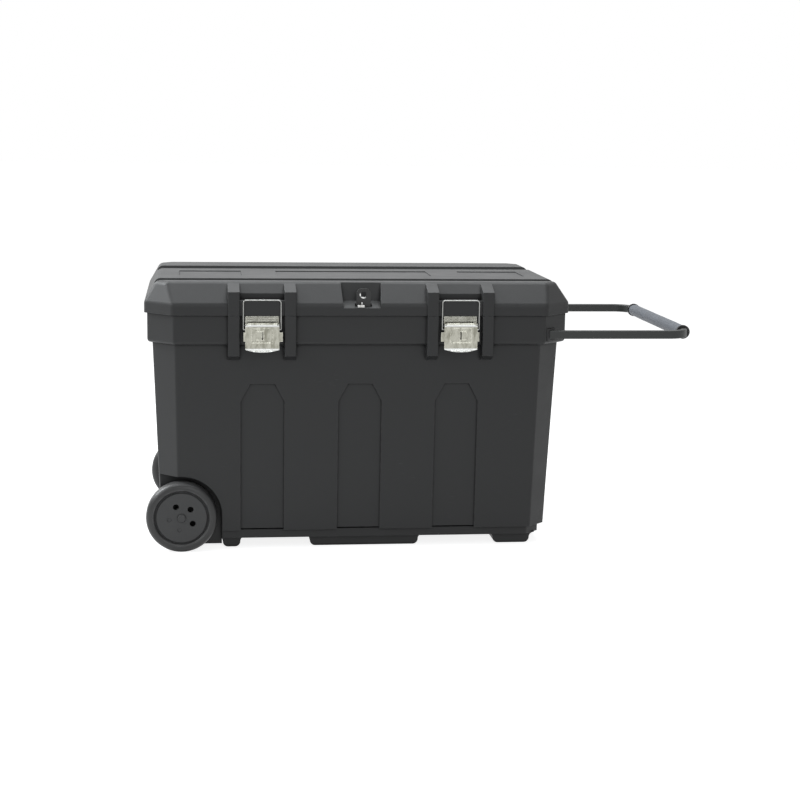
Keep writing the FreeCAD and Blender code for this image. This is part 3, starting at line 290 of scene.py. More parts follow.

# %% [markdown]
# Moulded and pressed edges are never sharp, and they lose their skin first. Bevelling every edge of the
# solids would round them, at the price of many faces. A rounded normal costs none: comparing it with the
# true one marks the edges, where the wear goes, and the same normal softens them. On the tread and the
# latch levers the lighter colour laid by this mask is partly a painted highlight as well.

# %% Edge wear and painted highlight
EDGE_WEAR_AND_HIGHLIGHT_INPUTS = {"Radius": 2.0 * MM, "Reach": 0.12, "Patch Scale": 60.0}
EDGE_PATCH_RANGE = (0.38, 0.62)
BEVEL_SAMPLES = 6


def build_edge_wear_and_highlight():
    tree, given, result = shader_group("edge_wear_and_highlight", EDGE_WEAR_AND_HIGHLIGHT_INPUTS, {"Mask": "Float", "Normal": "Vector"})
    round_edge = place(tree, "Bevel", {"Radius": given.outputs["Radius"]}, samples=BEVEL_SAMPLES)
    plain = place(tree, "NewGeometry")
    align = vector_maths(tree, "DOT_PRODUCT", round_edge.outputs["Normal"], plain.outputs["Normal"])
    turn = maths(tree, "SUBTRACT", 1.0, align.outputs["Value"])
    edge = maths(tree, "DIVIDE", turn, given.outputs["Reach"], clamp=True)
    patches = noise(tree, object_place(tree), given.outputs["Patch Scale"], detail=6.0)
    broken = spread(tree, patches, *EDGE_PATCH_RANGE)
    tree.links.new(maths(tree, "MULTIPLY", edge, broken), result.inputs["Mask"])
    tree.links.new(round_edge.outputs["Normal"], result.inputs["Normal"])
    return tree


EDGE_WEAR_AND_HIGHLIGHT = build_edge_wear_and_highlight()
print("group", EDGE_WEAR_AND_HIGHLIGHT.name)

# %% [markdown]
# Corners that little light reaches are darkened with painted shade. A mask painted onto each solid would
# have to be made again for every solid. So the group asks how much of its surroundings a spot sees within a
# short distance, and turns the part that is shut off into a mask for that painted shade.

# %% Crevice shade, painted
CREVICE_INPUTS = {"Distance": 4.0 * MM, "Least": 0.02, "Most": 0.2}
CREVICE_SAMPLES = 8


def build_crevice_shade():
    tree, given, result = shader_group("crevice_shade", CREVICE_INPUTS, {"Mask": "Float"})
    seen = place(tree, "AmbientOcclusion", {"Distance": given.outputs["Distance"]}, samples=CREVICE_SAMPLES)
    shut = maths(tree, "SUBTRACT", 1.0, seen.outputs["AO"])
    mask = spread(tree, shut, given.outputs["Least"], given.outputs["Most"])
    tree.links.new(mask, result.inputs["Mask"])
    return tree


CREVICE_SHADE = build_crevice_shade()
print("group", CREVICE_SHADE.name)

# %% [markdown]
# Dust settles in patches on what faces up, and scuffs are thin streaks where the plastic was rubbed. Both
# are noise with limits: dust also asks which way the surface faces, and scuffs are a stretched, turned
# noise that shows only in a few areas.

# %% Dust and scuffs
DUST_PATCH_SCALE = 9.0
DUST_PATCH_RANGE = (0.1, 0.9)
DUST_FACING_RANGE = (0.55, 1.0)
SCUFF_INPUTS = {"Streak Scale": 55.0, "Stretch": 9.0, "Share": 0.6}
SCUFF_TURN = (0.3, 0.9, 0.5)
SCUFF_RANGE = (0.66, 0.74)
SCUFF_AREA_SCALE = 5.0
SCUFF_AREA_GAIN = 9.0


def build_dust():
    tree, given, result = shader_group("settled_dust", {"Patch Scale": DUST_PATCH_SCALE}, {"Mask": "Float"})
    facing = place(tree, "SeparateXYZ", {"Vector": place(tree, "NewGeometry").outputs["Normal"]})
    flat = spread(tree, facing.outputs["Z"], *DUST_FACING_RANGE)
    patches = noise(tree, object_place(tree), given.outputs["Patch Scale"], detail=7.0, roughness=0.65)
    patchy = spread(tree, patches, *DUST_PATCH_RANGE)
    tree.links.new(maths(tree, "MULTIPLY", flat, patchy), result.inputs["Mask"])
    return tree


def build_scuffs():
    tree, given, result = shader_group("scuff_streaks", SCUFF_INPUTS, {"Mask": "Float"})
    longer = place(tree, "CombineXYZ", {"X": 1.0, "Y": 1.0, "Z": given.outputs["Stretch"]})
    turned = place(tree, "Mapping", {"Vector": object_place(tree), "Rotation": SCUFF_TURN,
                                     "Scale": longer.outputs["Vector"]})
    streaks = noise(tree, turned.outputs["Vector"], given.outputs["Streak Scale"], detail=2.0, roughness=0.4)
    thin = spread(tree, streaks, *SCUFF_RANGE)
    areas = noise(tree, object_place(tree), SCUFF_AREA_SCALE, detail=3.0)
    over = maths(tree, "SUBTRACT", areas, given.outputs["Share"])
    some = maths(tree, "MULTIPLY", over, SCUFF_AREA_GAIN, clamp=True)
    tree.links.new(maths(tree, "MULTIPLY", thin, some), result.inputs["Mask"])
    return tree


SETTLED_DUST = build_dust()
SCUFF_STREAKS = build_scuffs()
print("groups", SETTLED_DUST.name, SCUFF_STREAKS.name)

# %% [markdown]
# The tub and lid are moulded from black polyethylene with a satin skin. It is nearly black in itself and
# takes its grey from what it mirrors, most of all where it is seen at a low angle. So its colour stays dark
# and the roughness does the work, with lighter worn edges, a little dust on the lid, a few scuffs, and
# painted shade that darkens the crevices along the seams, the ribs and the recessed panels. Trim, wheels,
# treads and seal differ only in their values, so one recipe serves them all and each is a row of a table. On
# the tread the lighter edges are partly worn rubber and partly a painted highlight on the shoulder.

# %% Moulded plastic
DUST_COLOUR = (0.2, 0.2, 0.2, 1.0)
PAINTED_SHADE = (0.004, 0.004, 0.004, 1.0)
PAINTED_SHADE_SHARE = 0.95
PAINTED_SHADE_INPUTS = {"Distance": 12.0 * MM, "Least": 0.2, "Most": 0.6}
MOTTLE_DEPTH = 0.86
MOTTLE_SATIN = (-0.04, 0.05)
DUST_AND_SHADE_ROUGHEN = 0.4
PLASTICS = {
    "box_plastic": {"colour": (0.0205, 0.021, 0.0215), "worn_and_lit": (0.085, 0.086, 0.09), "roughness": 0.47,
                    "dust": 0.26},
    "trim_plastic": {"colour": (0.018, 0.018, 0.019), "worn_and_lit": (0.07, 0.07, 0.072), "roughness": 0.4,
                     "dust": 0.1, "edge": 1.2 * MM},
    "wheel_plastic": {"colour": (0.056, 0.0565, 0.057), "worn_and_lit": (0.12, 0.12, 0.12), "roughness": 0.5,
                      "dust": 0.3, "edge": 1.5 * MM, "scuffs": 0.35},
    # The tread's light edge colour is partly rubbed rubber and partly a painted highlight on the shoulder.
    "wheel_tread": {"colour": (0.013, 0.0133, 0.0136), "worn_and_lit": (0.15, 0.15, 0.148), "roughness": 0.36,
                    "dust": 0.35, "edge": 4.0 * MM, "scuffs": 0.6, "wear_and_lit": 0.7, "shine": 0.48},
    "seal_foam": {"colour": (0.014, 0.014, 0.014), "worn_and_lit": (0.03, 0.03, 0.03), "roughness": 0.9,
                  "dust": 0.05, "shine": 0.15, "grain": 600.0, "bump": 0.3 * MM},
}


def plastic_finish(name, colour, worn_and_lit, roughness, dust, shine=0.3, grain=GRAIN_INPUTS["Grain Scale"],
                   bump=0.03 * MM, edge=2.2 * MM, scuffs=0.2, wear_and_lit=0.5):
    material, tree, shader = new_finish(name)
    shader.inputs["Specular IOR Level"].default_value = shine
    moulded = use_group(tree, MOULDED_GRAIN, {"Grain Scale": grain})
    edges = use_group(tree, EDGE_WEAR_AND_HIGHLIGHT, {"Radius": edge})
    dusty = use_group(tree, SETTLED_DUST)
    scuffed = use_group(tree, SCUFF_STREAKS)
    shut_in = use_group(tree, CREVICE_SHADE, PAINTED_SHADE_INPUTS)
    # Lighter edges: wear, and on the tread partly a painted highlight.
    worn_and_lit_mask = maths(tree, "MULTIPLY", edges.outputs["Mask"], wear_and_lit)
    scuff_mask = maths(tree, "MULTIPLY", scuffed.outputs["Mask"], scuffs)
    dust_mask = maths(tree, "MULTIPLY", dusty.outputs["Mask"], dust)
    # Painted shade: the colour turns near black where the crevice mask finds the surface shut in.
    painted_shade_mask = maths(tree, "MULTIPLY", shut_in.outputs["Mask"], PAINTED_SHADE_SHARE)
    skin = tinted(tree, moulded.outputs["Mottle"], opaque(colour, MOTTLE_DEPTH), opaque(colour))
    for mask, over in ((worn_and_lit_mask, opaque(worn_and_lit)), (scuff_mask, opaque(worn_and_lit)), (dust_mask, DUST_COLOUR),
                       (painted_shade_mask, PAINTED_SHADE)):
        skin = tinted(tree, mask, skin, over)
    tree.links.new(skin, shader.inputs["Base Color"])
    smoother, rougher = (roughness + change for change in MOTTLE_SATIN)
    clean = spread(tree, moulded.outputs["Mottle"], 0.0, 1.0, smoother, rougher)
    # Dust and the painted shade both make the surface rougher.
    dust_and_painted_shade = maths(tree, "MAXIMUM", dust_mask, painted_shade_mask)
    tree.links.new(maths(tree, "MULTIPLY_ADD", dust_and_painted_shade, DUST_AND_SHADE_ROUGHEN, clean), shader.inputs["Roughness"])
    relief = place(tree, "Bump", {"Height": moulded.outputs["Height"], "Distance": bump,
                                  "Normal": edges.outputs["Normal"]})
    tree.links.new(relief.outputs["Normal"], shader.inputs["Normal"])
    return material


FINISHES = {name: plastic_finish(name, **facts) for name, facts in PLASTICS.items()}
print("plastics:", len(PLASTICS))

# %% [markdown]
# The latches are pressed steel with a warm nickel finish. Plating is a mirror that is slightly matt, with a
# faint grain along the rolling direction and cloudy patches of a darker film. The creases are darkened with
# painted shade, and the lever's edges are lighter, partly from wear and partly as a painted highlight. Two
# bands of the lever's height, its nose and its finger lip, carry a painted highlight in a lighter colour. A
# photograph of metal laid over the plates would look right from one side only. The same recipe with other
# colours and roughness serves the lever, the lighter base plate behind it, the wire and the pins.

# %% Plated steel
# Edges are made lighter by this gain, partly as wear and, on the lever, partly as a painted highlight.
EDGE_WEAR_AND_HIGHLIGHT_GAIN = 1.6
CREASE_SHADE_GAIN = 0.3
# Painted shade in the creases: how far the mask reaches and how dark it makes them.
CREASE_SHADE_INPUTS = {"Distance": 2.2 * MM, "Most": 0.14}
PLATE_PATCH_SCALE = 220.0
ROLLING = {"stretch": (1.0, 1.0, 14.0), "scale": 260.0, "range": (0.3, 0.7), "relief": 0.01 * MM}
CLOUDS = {"stretch": (1.0, 1.0, 0.35), "scale": 110.0}
CLOUD_REACH = (-0.08, 0.16)
ROLLING_SATIN = (-0.06, 0.08)
FILM_ROUGHENS = 0.14
# Painted highlight: a lighter colour laid on the lever's nose and lip bands, where the curves catch the
# light.
LEVER_HIGHLIGHT = (0.55, 0.555, 0.54, 1.0)
HIGHLIGHT_FADE = 1.2 * MM
LIP_HIGHLIGHT = (0.455, 0.4695)
NOSE_HIGHLIGHT = (0.5165, 0.5225)
PLATINGS = {
    "latch_plate": {"colour": (0.41, 0.405, 0.35), "film": (0.22, 0.215, 0.175), "roughness": 0.24,
                    "film_share": 0.5, "edge": 2.0 * MM, "edge_reach": 0.012, "crease_shade": 1.0,
                    "highlight_bands": (LIP_HIGHLIGHT, NOSE_HIGHLIGHT)},
    "latch_base": {"colour": (0.52, 0.515, 0.46), "film": (0.38, 0.375, 0.32), "roughness": 0.22,
                   "edge": 0.6 * MM, "edge_reach": 0.1, "crease_shade": 0.6},
    "latch_wire": {"colour": (0.33, 0.33, 0.32), "film": (0.24, 0.24, 0.23), "roughness": 0.24},
    "bright_steel": {"colour": (0.6, 0.6, 0.6), "film": (0.4, 0.39, 0.37), "roughness": 0.32, "crease_shade": 0.7},
}


def stretched_noise(tree, where, stretch, scale, detail, roughness=0.5):
    longer = place(tree, "Mapping", {"Vector": where, "Scale": stretch})
    return noise(tree, longer.outputs["Vector"], scale, detail, roughness)


def plated_finish(name, colour, film, roughness, film_share=0.55, edge=0.8 * MM, edge_reach=0.2, crease_shade=0.0,
                  highlight_bands=()):
    material, tree, shader = new_finish(name)
    shader.inputs["Metallic"].default_value = 1.0
    where = object_place(tree)
    rolled = stretched_noise(tree, where, ROLLING["stretch"], ROLLING["scale"], detail=4.0)
    clouds = stretched_noise(tree, where, CLOUDS["stretch"], CLOUDS["scale"], detail=5.0, roughness=0.6)
    wear_and_lit = {"Radius": edge, "Reach": edge_reach, "Patch Scale": PLATE_PATCH_SCALE}
    edges = use_group(tree, EDGE_WEAR_AND_HIGHLIGHT, wear_and_lit)
    shut_in = use_group(tree, CREVICE_SHADE, CREASE_SHADE_INPUTS)
    dull = spread(tree, clouds, *(film_share + change for change in CLOUD_REACH))
    skin = tinted(tree, dull, opaque(colour), opaque(film))
    # Lighter edges: wear, and on the lever's embossed edges partly a painted highlight.
    skin = tinted(tree, edges.outputs["Mask"], skin, opaque(colour, EDGE_WEAR_AND_HIGHLIGHT_GAIN))
    height = place(tree, "SeparateXYZ", {"Vector": where}).outputs["Z"]
    # Painted highlight on each listed band of height.
    for low, high in highlight_bands:
        above = spread(tree, height, low, low + HIGHLIGHT_FADE)
        below = spread(tree, height, high, high - HIGHLIGHT_FADE)
        skin = tinted(tree, maths(tree, "MULTIPLY", above, below), skin, LEVER_HIGHLIGHT)
    # Painted shade: the creases found by the shade mask take a darker colour.
    crease_shade_mask = maths(tree, "MULTIPLY", shut_in.outputs["Mask"], crease_shade)
    tree.links.new(tinted(tree, crease_shade_mask, skin, opaque(film, CREASE_SHADE_GAIN)), shader.inputs["Base Color"])
    smoother, rougher = (roughness + change for change in ROLLING_SATIN)
    streaks = spread(tree, rolled, *ROLLING["range"], smoother, rougher)
    tree.links.new(maths(tree, "MULTIPLY_ADD", dull, FILM_ROUGHENS, streaks), shader.inputs["Roughness"])
    relief = place(tree, "Bump", {"Height": rolled, "Distance": ROLLING["relief"],
                                  "Normal": edges.outputs["Normal"]})
    tree.links.new(relief.outputs["Normal"], shader.inputs["Normal"])
    return material


FINISHES.update({name: plated_finish(name, **facts) for name, facts in PLATINGS.items()})
BRIGHT_STEEL = FINISHES["bright_steel"]
print("plated finishes:", len(PLATINGS))

# %% [markdown]
# The pull handle is steel tube under black powder coat, which has a faint orange-peel surface. The padlock
# eye is blacked steel, rubbed bright where a shackle hangs in its hole. A ring of bare metal could be a
# piece of its own, but wear has no outline. So the eye's finish measures the distance and the direction
# from the hole's axis and lays bare metal on a broken crescent.

# %% Coated steel
COAT_SHINE = 0.4
COAT_EDGE = {"Radius": 1.2 * MM, "Patch Scale": 90.0}
COAT_SCUFFS = {"Streak Scale": 120.0, "Stretch": 0.12, "Share": 0.5}
COAT_RUBBED = (0.1, 0.1, 0.1, 1.0)
COAT_RUBBED_SHARE = 0.35
COAT_SCUFFED = (0.12, 0.12, 0.12, 1.0)
COAT_SCUFFED_SHARE = 0.3
COAT_SATIN = (-0.05, 0.05)
PEEL_SCALE = 420.0
PEEL_RELIEF = 0.03 * MM
EYE_MOUNT = next(mount for mount in frame["record"]["mounts"] if mount["name"] == "padlock_eye")
EYE_HOLE_RADIUS = EYE_MOUNT["dims"]["r_mm"] * MM
EYE_RUBBED_SIDE = (-0.6, 0.0, -0.8)
EYE_RUBBED_LEAN = (0.15, 0.6)
EYE_RUBBED_RIM = (3.0 * MM, 2.0 * MM)
EYE_PATCH_SCALE = 160.0
EYE_PATCH_RANGE = (0.3, 0.5)
EYE_BARE = (0.75, 0.75, 0.74, 1.0)
COATINGS = {
    "handle_paint": {"colour": (0.026, 0.028, 0.027), "roughness": 0.45},
    "eye_steel": {"colour": (0.02, 0.02, 0.02), "roughness": 0.4, "rubbed_hole": True},
}


def rubbed_crescent(tree, where):
    """White on the part of the eye's rim that a shackle rubs, in a broken crescent round the hole."""
    across = vector_maths(tree, "SUBTRACT", where, tuple(EYE_MOUNT["pos_m"]))
    flat = vector_maths(tree, "MULTIPLY", across.outputs["Vector"], (1.0, 0.0, 1.0)).outputs["Vector"]
    reach = vector_maths(tree, "LENGTH", flat)
    near = spread(tree, reach.outputs["Value"], *(EYE_HOLE_RADIUS + rim for rim in EYE_RUBBED_RIM))
    outward = vector_maths(tree, "NORMALIZE", flat)
    lean = vector_maths(tree, "DOT_PRODUCT", outward.outputs["Vector"], EYE_RUBBED_SIDE)
    patches = noise(tree, where, EYE_PATCH_SCALE, detail=3.0)
    rubbed_side = maths(tree, "MULTIPLY", near, spread(tree, lean.outputs["Value"], *EYE_RUBBED_LEAN))
    return maths(tree, "MULTIPLY", rubbed_side, spread(tree, patches, *EYE_PATCH_RANGE))


def coated_finish(name, colour, roughness, rubbed_hole=False):
    material, tree, shader = new_finish(name)
    shader.inputs["Specular IOR Level"].default_value = COAT_SHINE
    where = object_place(tree)
    peel = noise(tree, where, PEEL_SCALE, detail=1.0)
    edges = use_group(tree, EDGE_WEAR_AND_HIGHLIGHT, COAT_EDGE)
    scuffed = use_group(tree, SCUFF_STREAKS, COAT_SCUFFS)
    rubbed_mask = maths(tree, "MULTIPLY", edges.outputs["Mask"], COAT_RUBBED_SHARE)
    scuff_mask = maths(tree, "MULTIPLY", scuffed.outputs["Mask"], COAT_SCUFFED_SHARE)
    skin = tinted(tree, rubbed_mask, opaque(colour), COAT_RUBBED)
    skin = tinted(tree, scuff_mask, skin, COAT_SCUFFED)
    if rubbed_hole:
        bare = rubbed_crescent(tree, where)
        skin = tinted(tree, bare, skin, EYE_BARE)
        tree.links.new(bare, shader.inputs["Metallic"])
    tree.links.new(skin, shader.inputs["Base Color"])
    smoother, rougher = (roughness + change for change in COAT_SATIN)
    tree.links.new(spread(tree, peel, 0.0, 1.0, smoother, rougher), shader.inputs["Roughness"])
    relief = place(tree, "Bump", {"Height": peel, "Distance": PEEL_RELIEF, "Normal": edges.outputs["Normal"]})
    tree.links.new(relief.outputs["Normal"], shader.inputs["Normal"])
    return material


FINISHES.update({name: coated_finish(name, **facts) for name, facts in COATINGS.items()})
print("coated finishes:", len(COATINGS), "finishes in all:", len(FINISHES))

# %% [markdown]
# Each solid already names its material slot in the record, so one table of finishes dresses them all. Only
# the latches' base plates are told apart by name: they share the levers' slot, but are lighter. The foam
# grip is left as it is, because a softer piece takes its place below.

# %% Dress the solids
dressed = 0
for row in frame["record"]["subparts"]:
    is_base_plate = row["node"].startswith("latch_base")
    finish = FINISHES.get("latch_base" if is_base_plate else row["material_slot"])
    if finish:
        solid = nodes[row["node"]]
        solid.data.materials.clear()
        solid.data.materials.append(finish)
        dressed += 1
print("dressed solids:", dressed)

# %% [markdown]
# The hands hold the pull handle by a foam sleeve. Closed-cell foam is dull and a little blue, with a skin
# of tiny cells that catches light at low angles like cloth. A plain grey would look like painted metal, so
# the finish has slow patches of two greys, a weak sheen, and a relief of cells that is far finer than the
# mesh.

# %% Foam finish
FOAM_DARK = (0.078, 0.084, 0.094, 1.0)
FOAM_LIGHT = (0.1, 0.107, 0.12, 1.0)
FOAM_ROUGHNESS = (0.5, 0.6)
FOAM_PATCH_SCALE = 45.0
FOAM_PATCH_RANGE = (0.35, 0.65)
FOAM_CELL_SCALE = 1500.0
FOAM_CELL_RELIEF = 0.08 * MM
FOAM_SHADER = {"Specular IOR Level": 0.25, "Sheen Weight": 0.12, "Sheen Roughness": 0.45,
               "Sheen Tint": (0.75, 0.78, 0.9, 1.0)}


def foam_finish():
    material, tree, shader = new_finish("grip_foam")
    for label, value in FOAM_SHADER.items():
        shader.inputs[label].default_value = value
    where = object_place(tree)
    cells = place(tree, "TexVoronoi", {"Vector": where, "Scale": FOAM_CELL_SCALE})
    patch = spread(tree, noise(tree, where, FOAM_PATCH_SCALE, detail=6.0), *FOAM_PATCH_RANGE)
    tree.links.new(tinted(tree, patch, FOAM_DARK, FOAM_LIGHT), shader.inputs["Base Color"])
    tree.links.new(spread(tree, patch, 0.0, 1.0, *FOAM_ROUGHNESS), shader.inputs["Roughness"])
    relief = place(tree, "Bump", {"Height": cells.outputs["Distance"], "Distance": FOAM_CELL_RELIEF})
    tree.links.new(relief.outputs["Normal"], shader.inputs["Normal"])
    return material


GRIP_FOAM = foam_finish()
print("finish", GRIP_FOAM.name)

# %% [markdown]
# The grip is a sleeve of closed-cell foam pushed over the handle's cross bar. A cylinder would look
# machined, so its outline is a short formula: full in the middle, drawn in over rounded ends, with a slow
# unevenness round and along it that foam takes from the mould and from hands. A cloth simulation could
# squeeze it too, but foam this stiff hardly gives, so its rings are placed directly.

# %% Foam grip
GRIP_LOW, GRIP_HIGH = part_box("handle_grip")
GRIP_MIDDLE = (GRIP_LOW + GRIP_HIGH) / 2.0
GRIP_HALF = (GRIP_HIGH.y - GRIP_LOW.y) / 2.0
GRIP_RADIUS = (GRIP_HIGH.z - GRIP_LOW.z) / 2.0
GRIP_END_ROUND = 4.0 * MM
GRIP_RINGS = 240
GRIP_SIDES = 64
SWAY_DEPTH = 0.14 * MM
SWAY_SINK = 0.15 * MM
SLOW_SWAY = {"along": 31.0, "start": 1.3, "round": 2.0}
QUICK_SWAY = {"along": 57.0, "round": 3.0, "share": 0.6}


def join_rings(shape, rings):
    """Closes the skin between each ring of points and the next one."""
    for first, second in zip(rings, rings[1:]):
        for side in range(len(first)):
            after = (side + 1) % len(first)
            shape.faces.new((first[side], second[side], second[after], first[after]))


def smooth_mesh(name, shape):
    """A smooth-shaded mesh from a shape in progress, which is then freed."""
    mesh = bpy.data.meshes.new(name)
    shape.to_mesh(mesh)
    shape.free()
    mesh.shade_smooth()
    return mesh


def grip_radius(along, turn):
    """The foam's radius at a distance from the middle and an angle round the bar."""
    into_end = GRIP_END_ROUND - (GRIP_HALF - abs(along))
    drop = 0.0
    if into_end > 0.0:
        drop = GRIP_END_ROUND - math.sqrt(max(0.0, GRIP_END_ROUND ** 2 - into_end ** 2))
    slow = math.sin(SLOW_SWAY["along"] * along + SLOW_SWAY["start"]) * math.cos(SLOW_SWAY["round"] * turn)
    quick = QUICK_SWAY["share"] * math.sin(QUICK_SWAY["along"] * along + QUICK_SWAY["round"] * turn)
    return GRIP_RADIUS - SWAY_SINK - drop + SWAY_DEPTH * (slow + quick)


def make_grip():
    shape = bmesh.new()
    rings = []
    for step in range(GRIP_RINGS + 1):
        along = GRIP_HALF * (2.0 * step / GRIP_RINGS - 1.0)
        ring = []
        for side in range(GRIP_SIDES):
            turn = 2.0 * math.pi * side / GRIP_SIDES
            radius = grip_radius(along, turn)
            spot = GRIP_MIDDLE + Vector((radius * math.cos(turn), along, radius * math.sin(turn)))
            ring.append(shape.verts.new(spot))
        rings.append(ring)
    join_rings(shape, rings)
    shape.faces.new(rings[0])
    shape.faces.new(list(reversed(rings[-1])))
    bmesh.ops.recalc_face_normals(shape, faces=shape.faces)
    grip = bpy.data.objects.new("foam_grip", smooth_mesh("foam_grip", shape))
    bpy.context.scene.collection.objects.link(grip)
    return grip


grip = make_grip()
grip.data.materials.append(GRIP_FOAM)
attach(grip, "handle")
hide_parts("handle_grip")
print("grip", round(2.0 * GRIP_HALF / MM), "mm long, faces", len(grip.data.polygons))

# %% [markdown]
# A small bright stop stands in the lock recess in front of the eye: a short bar with a stud on it. It is
# too small for a solid of its own, so it is two boxes with rounded edges, and it rides on the lid.

# %% Lock stop
LOCK_STOP_ROUND = 0.7
LOCK_STOP_STEPS = 3
LOCK_STOP = {"bar": ((-10.0, -294.0, 559.0), (5.6, -290.4, 564.6)),
             "stud": ((-1.6, -291.6, 563.6), (1.0, -289.8, 570.6))}


def rounded_box(shape, low, high):
    """Adds a box with rounded edges to a shape in progress, between two corners in millimetres."""
    made = bmesh.ops.create_cube(shape, size=1.0)
    middle = (Vector(low) + Vector(high)) / 2.0
    size = Vector(high) - Vector(low)
    for vert in made["verts"]:
        vert.co = (middle + Vector([size[axis] * vert.co[axis] for axis in range(3)])) * MM
    corners = set(made["verts"])
    edges = [edge for edge in shape.edges if corners.issuperset(edge.verts)]
    bmesh.ops.bevel(shape, geom=edges, offset=LOCK_STOP_ROUND * MM, segments=LOCK_STOP_STEPS, profile=0.5,
                    affect="EDGES")


def make_lock_stop():
    shape = bmesh.new()
    for low, high in LOCK_STOP.values():
        rounded_box(shape, low, high)
    mesh = smooth_mesh("lock_stop", shape)
    mesh.materials.append(BRIGHT_STEEL)
    stop = bpy.data.objects.new("lock_stop", mesh)
    bpy.context.scene.collection.objects.link(stop)
    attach(stop, "lid")
    print(stop.name, len(mesh.polygons), "faces")


make_lock_stop()

# %% [markdown]
# Screws and rivets repeat, so each kind is modelled once and a geometry node tree sets copies of it on a
# cloud of points. The places are not typed in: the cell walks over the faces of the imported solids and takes
# the box of every separate screw or rivet, so the copies stay where the solids are.

# %% Fastener places
SOLID_MERGE = 0.01 * MM


def loose_boxes(name):
    """The box of every separate solid in one node, found by walking from vertex to vertex."""
    shape = bmesh.new()
    shape.from_mesh(nodes[name].data)
    bmesh.ops.remove_doubles(shape, verts=shape.verts, dist=SOLID_MERGE)
    waiting = set(shape.verts)
    boxes = []
    for start in shape.verts:
        if start not in waiting:
            continue
        waiting.remove(start)
        island = [start]
        for vert in island:
            near = {edge.other_vert(vert) for edge in vert.link_edges} & waiting
            waiting -= near
            island.extend(near)
        low = Vector([min(vert.co[axis] for vert in island) for axis in range(3)])
        high = Vector([max(vert.co[axis] for vert in island) for axis in range(3)])
        boxes.append((low, high))
    shape.free()
    return boxes


def head_places(name, head_inside):
    """Where each head's top is in one node, half a turn for a head that faces the front, and the length."""
    places = []
    for low, high in loose_boxes(name):
        middle = (low + high) / 2.0
        faces_back = (middle.y < 0.0) == head_inside
        top = high.y if faces_back else low.y
        places.append((Vector((middle.x, top, middle.z)), 0.0 if faces_back else math.pi))
    return places, high.y - low.y


print("sleeve screws:", len(loose_boxes("sleeve_screws")), "rivets:", len(loose_boxes("latch_rivets")))

# %% [markdown]
# A fastener is a turned shape, so it needs only a list of radii and heights. The screw's top has many rings
# close together, and those inside its driver cross are pushed down, which presses the cross into the head.
# The rivet has a low dome, a dimple where its mandrel broke off and a flatter tail. A boolean cut would
# give a sharper cross, but also a ragged mesh.

# %% Screw and rivet shapes
TURNED_SIDES = 48
TURNED_MERGE = 0.0005 * MM
SCREW_HEAD = {"radius": 4.0, "crown": 1.3, "height": 2.2, "shank": 2.0}
SCREW_CROWN_SHARES = (1.0, 0.985, 0.95, 0.88, 0.8, 0.7)
SCREW_TIP = {"share": 0.8, "chamfer": 0.5}
RIVET_HEAD = {"radius": 4.5, "height": 1.4, "shank": 2.0, "dimple": 1.2, "dimple_depth": 0.9}
RIVET_DOME = {"rings": 10, "pitch": math.pi / 24.0}
RIVET_TAIL = {"share": 0.8, "chamfer": 0.4}
CROSS = {"half_width": 0.55, "reach": 2.2, "depth": 1.1, "slope": 0.6, "rings": 17, "pitch": 0.15}


def turned_shape(name, profile, relief):
    """A shape turned round Y from radii and heights in millimetres, from its tip to the middle of its top."""
    shape = bmesh.new()
    rings = []
    for radius, height in profile:
        ring = []
        for side in range(TURNED_SIDES):
            turn = 2.0 * math.pi * side / TURNED_SIDES
            x, z = radius * math.cos(turn), radius * math.sin(turn)
            ring.append(shape.verts.new((x * MM, (height - relief(x, height, z)) * MM, z * MM)))
        rings.append(ring)
    join_rings(shape, rings)
    bmesh.ops.remove_doubles(shape, verts=shape.verts, dist=TURNED_MERGE)
    bmesh.ops.recalc_face_normals(shape, faces=shape.faces)
    return bpy.data.objects.new(name, smooth_mesh(name, shape))


def driver_cross(x, height, z):
    """How far the driver's cross is pressed into a screw's crown."""
    near, far = sorted((abs(x), abs(z)))
    if height < -SCREW_HEAD["crown"] or near > CROSS["half_width"] or far > CROSS["reach"]:
        return 0.0
    return CROSS["depth"] * (1.0 - CROSS["slope"] * far / CROSS["reach"])


def plain_top(x, height, z):
    """Nothing is pressed into a rivet's dome."""
    return 0.0


def screw_profile(length):
    full, crown, shank = SCREW_HEAD["radius"], SCREW_HEAD["crown"], SCREW_HEAD["shank"]
    seat = -SCREW_HEAD["height"]
    body = [(0.0, -length), (SCREW_TIP["share"] * shank, -length), (shank, SCREW_TIP["chamfer"] - length),
            (shank, seat), (full, seat)]
    radii = [full * share for share in SCREW_CROWN_SHARES]
    radii += [CROSS["pitch"] * step for step in range(CROSS["rings"], -1, -1)]
    return body + [(radius, crown * (math.sqrt(1.0 - (radius / full) ** 2) - 1.0)) for radius in radii]


def rivet_profile(length):
    full, height, shank = RIVET_HEAD["radius"], RIVET_HEAD["height"], RIVET_HEAD["shank"]
    dimple, depth = RIVET_HEAD["dimple"], RIVET_HEAD["dimple_depth"]
    tail = [(0.0, -length), (RIVET_TAIL["share"] * full, -length), (full, RIVET_TAIL["chamfer"] - length),
            (full, height - length), (shank, height - length), (shank, -height)]
    turns = [RIVET_DOME["pitch"] * step for step in range(RIVET_DOME["rings"])]
    dome = [(full * math.cos(turn), height * (math.sin(turn) - 1.0)) for turn in turns]
    return tail + dome + [(dimple, 0.0), (dimple, -depth), (0.0, -depth)]


print("screw head", 2.0 * SCREW_HEAD["radius"], "mm, rivet head", 2.0 * RIVET_HEAD["radius"], "mm")

# %% [markdown]
# The tree itself is short: it sets the head on every point, turned by the point's own half turn and by a
# random spin, makes the copies real and gives them their finish. The head, the finish and the largest spin
# are inputs with names, so the same tree serves screws, whose crosses never line up, and rivets, which look
# the same all round. Each row is then baked to a plain mesh and rides on the tub.

# %% Fastener rows
SPIN_SEED = 0
FASTENER_KINDS = {"Places": "Geometry", "Fastener": "Object", "Finish": "Material", "Largest Spin": "Float"}


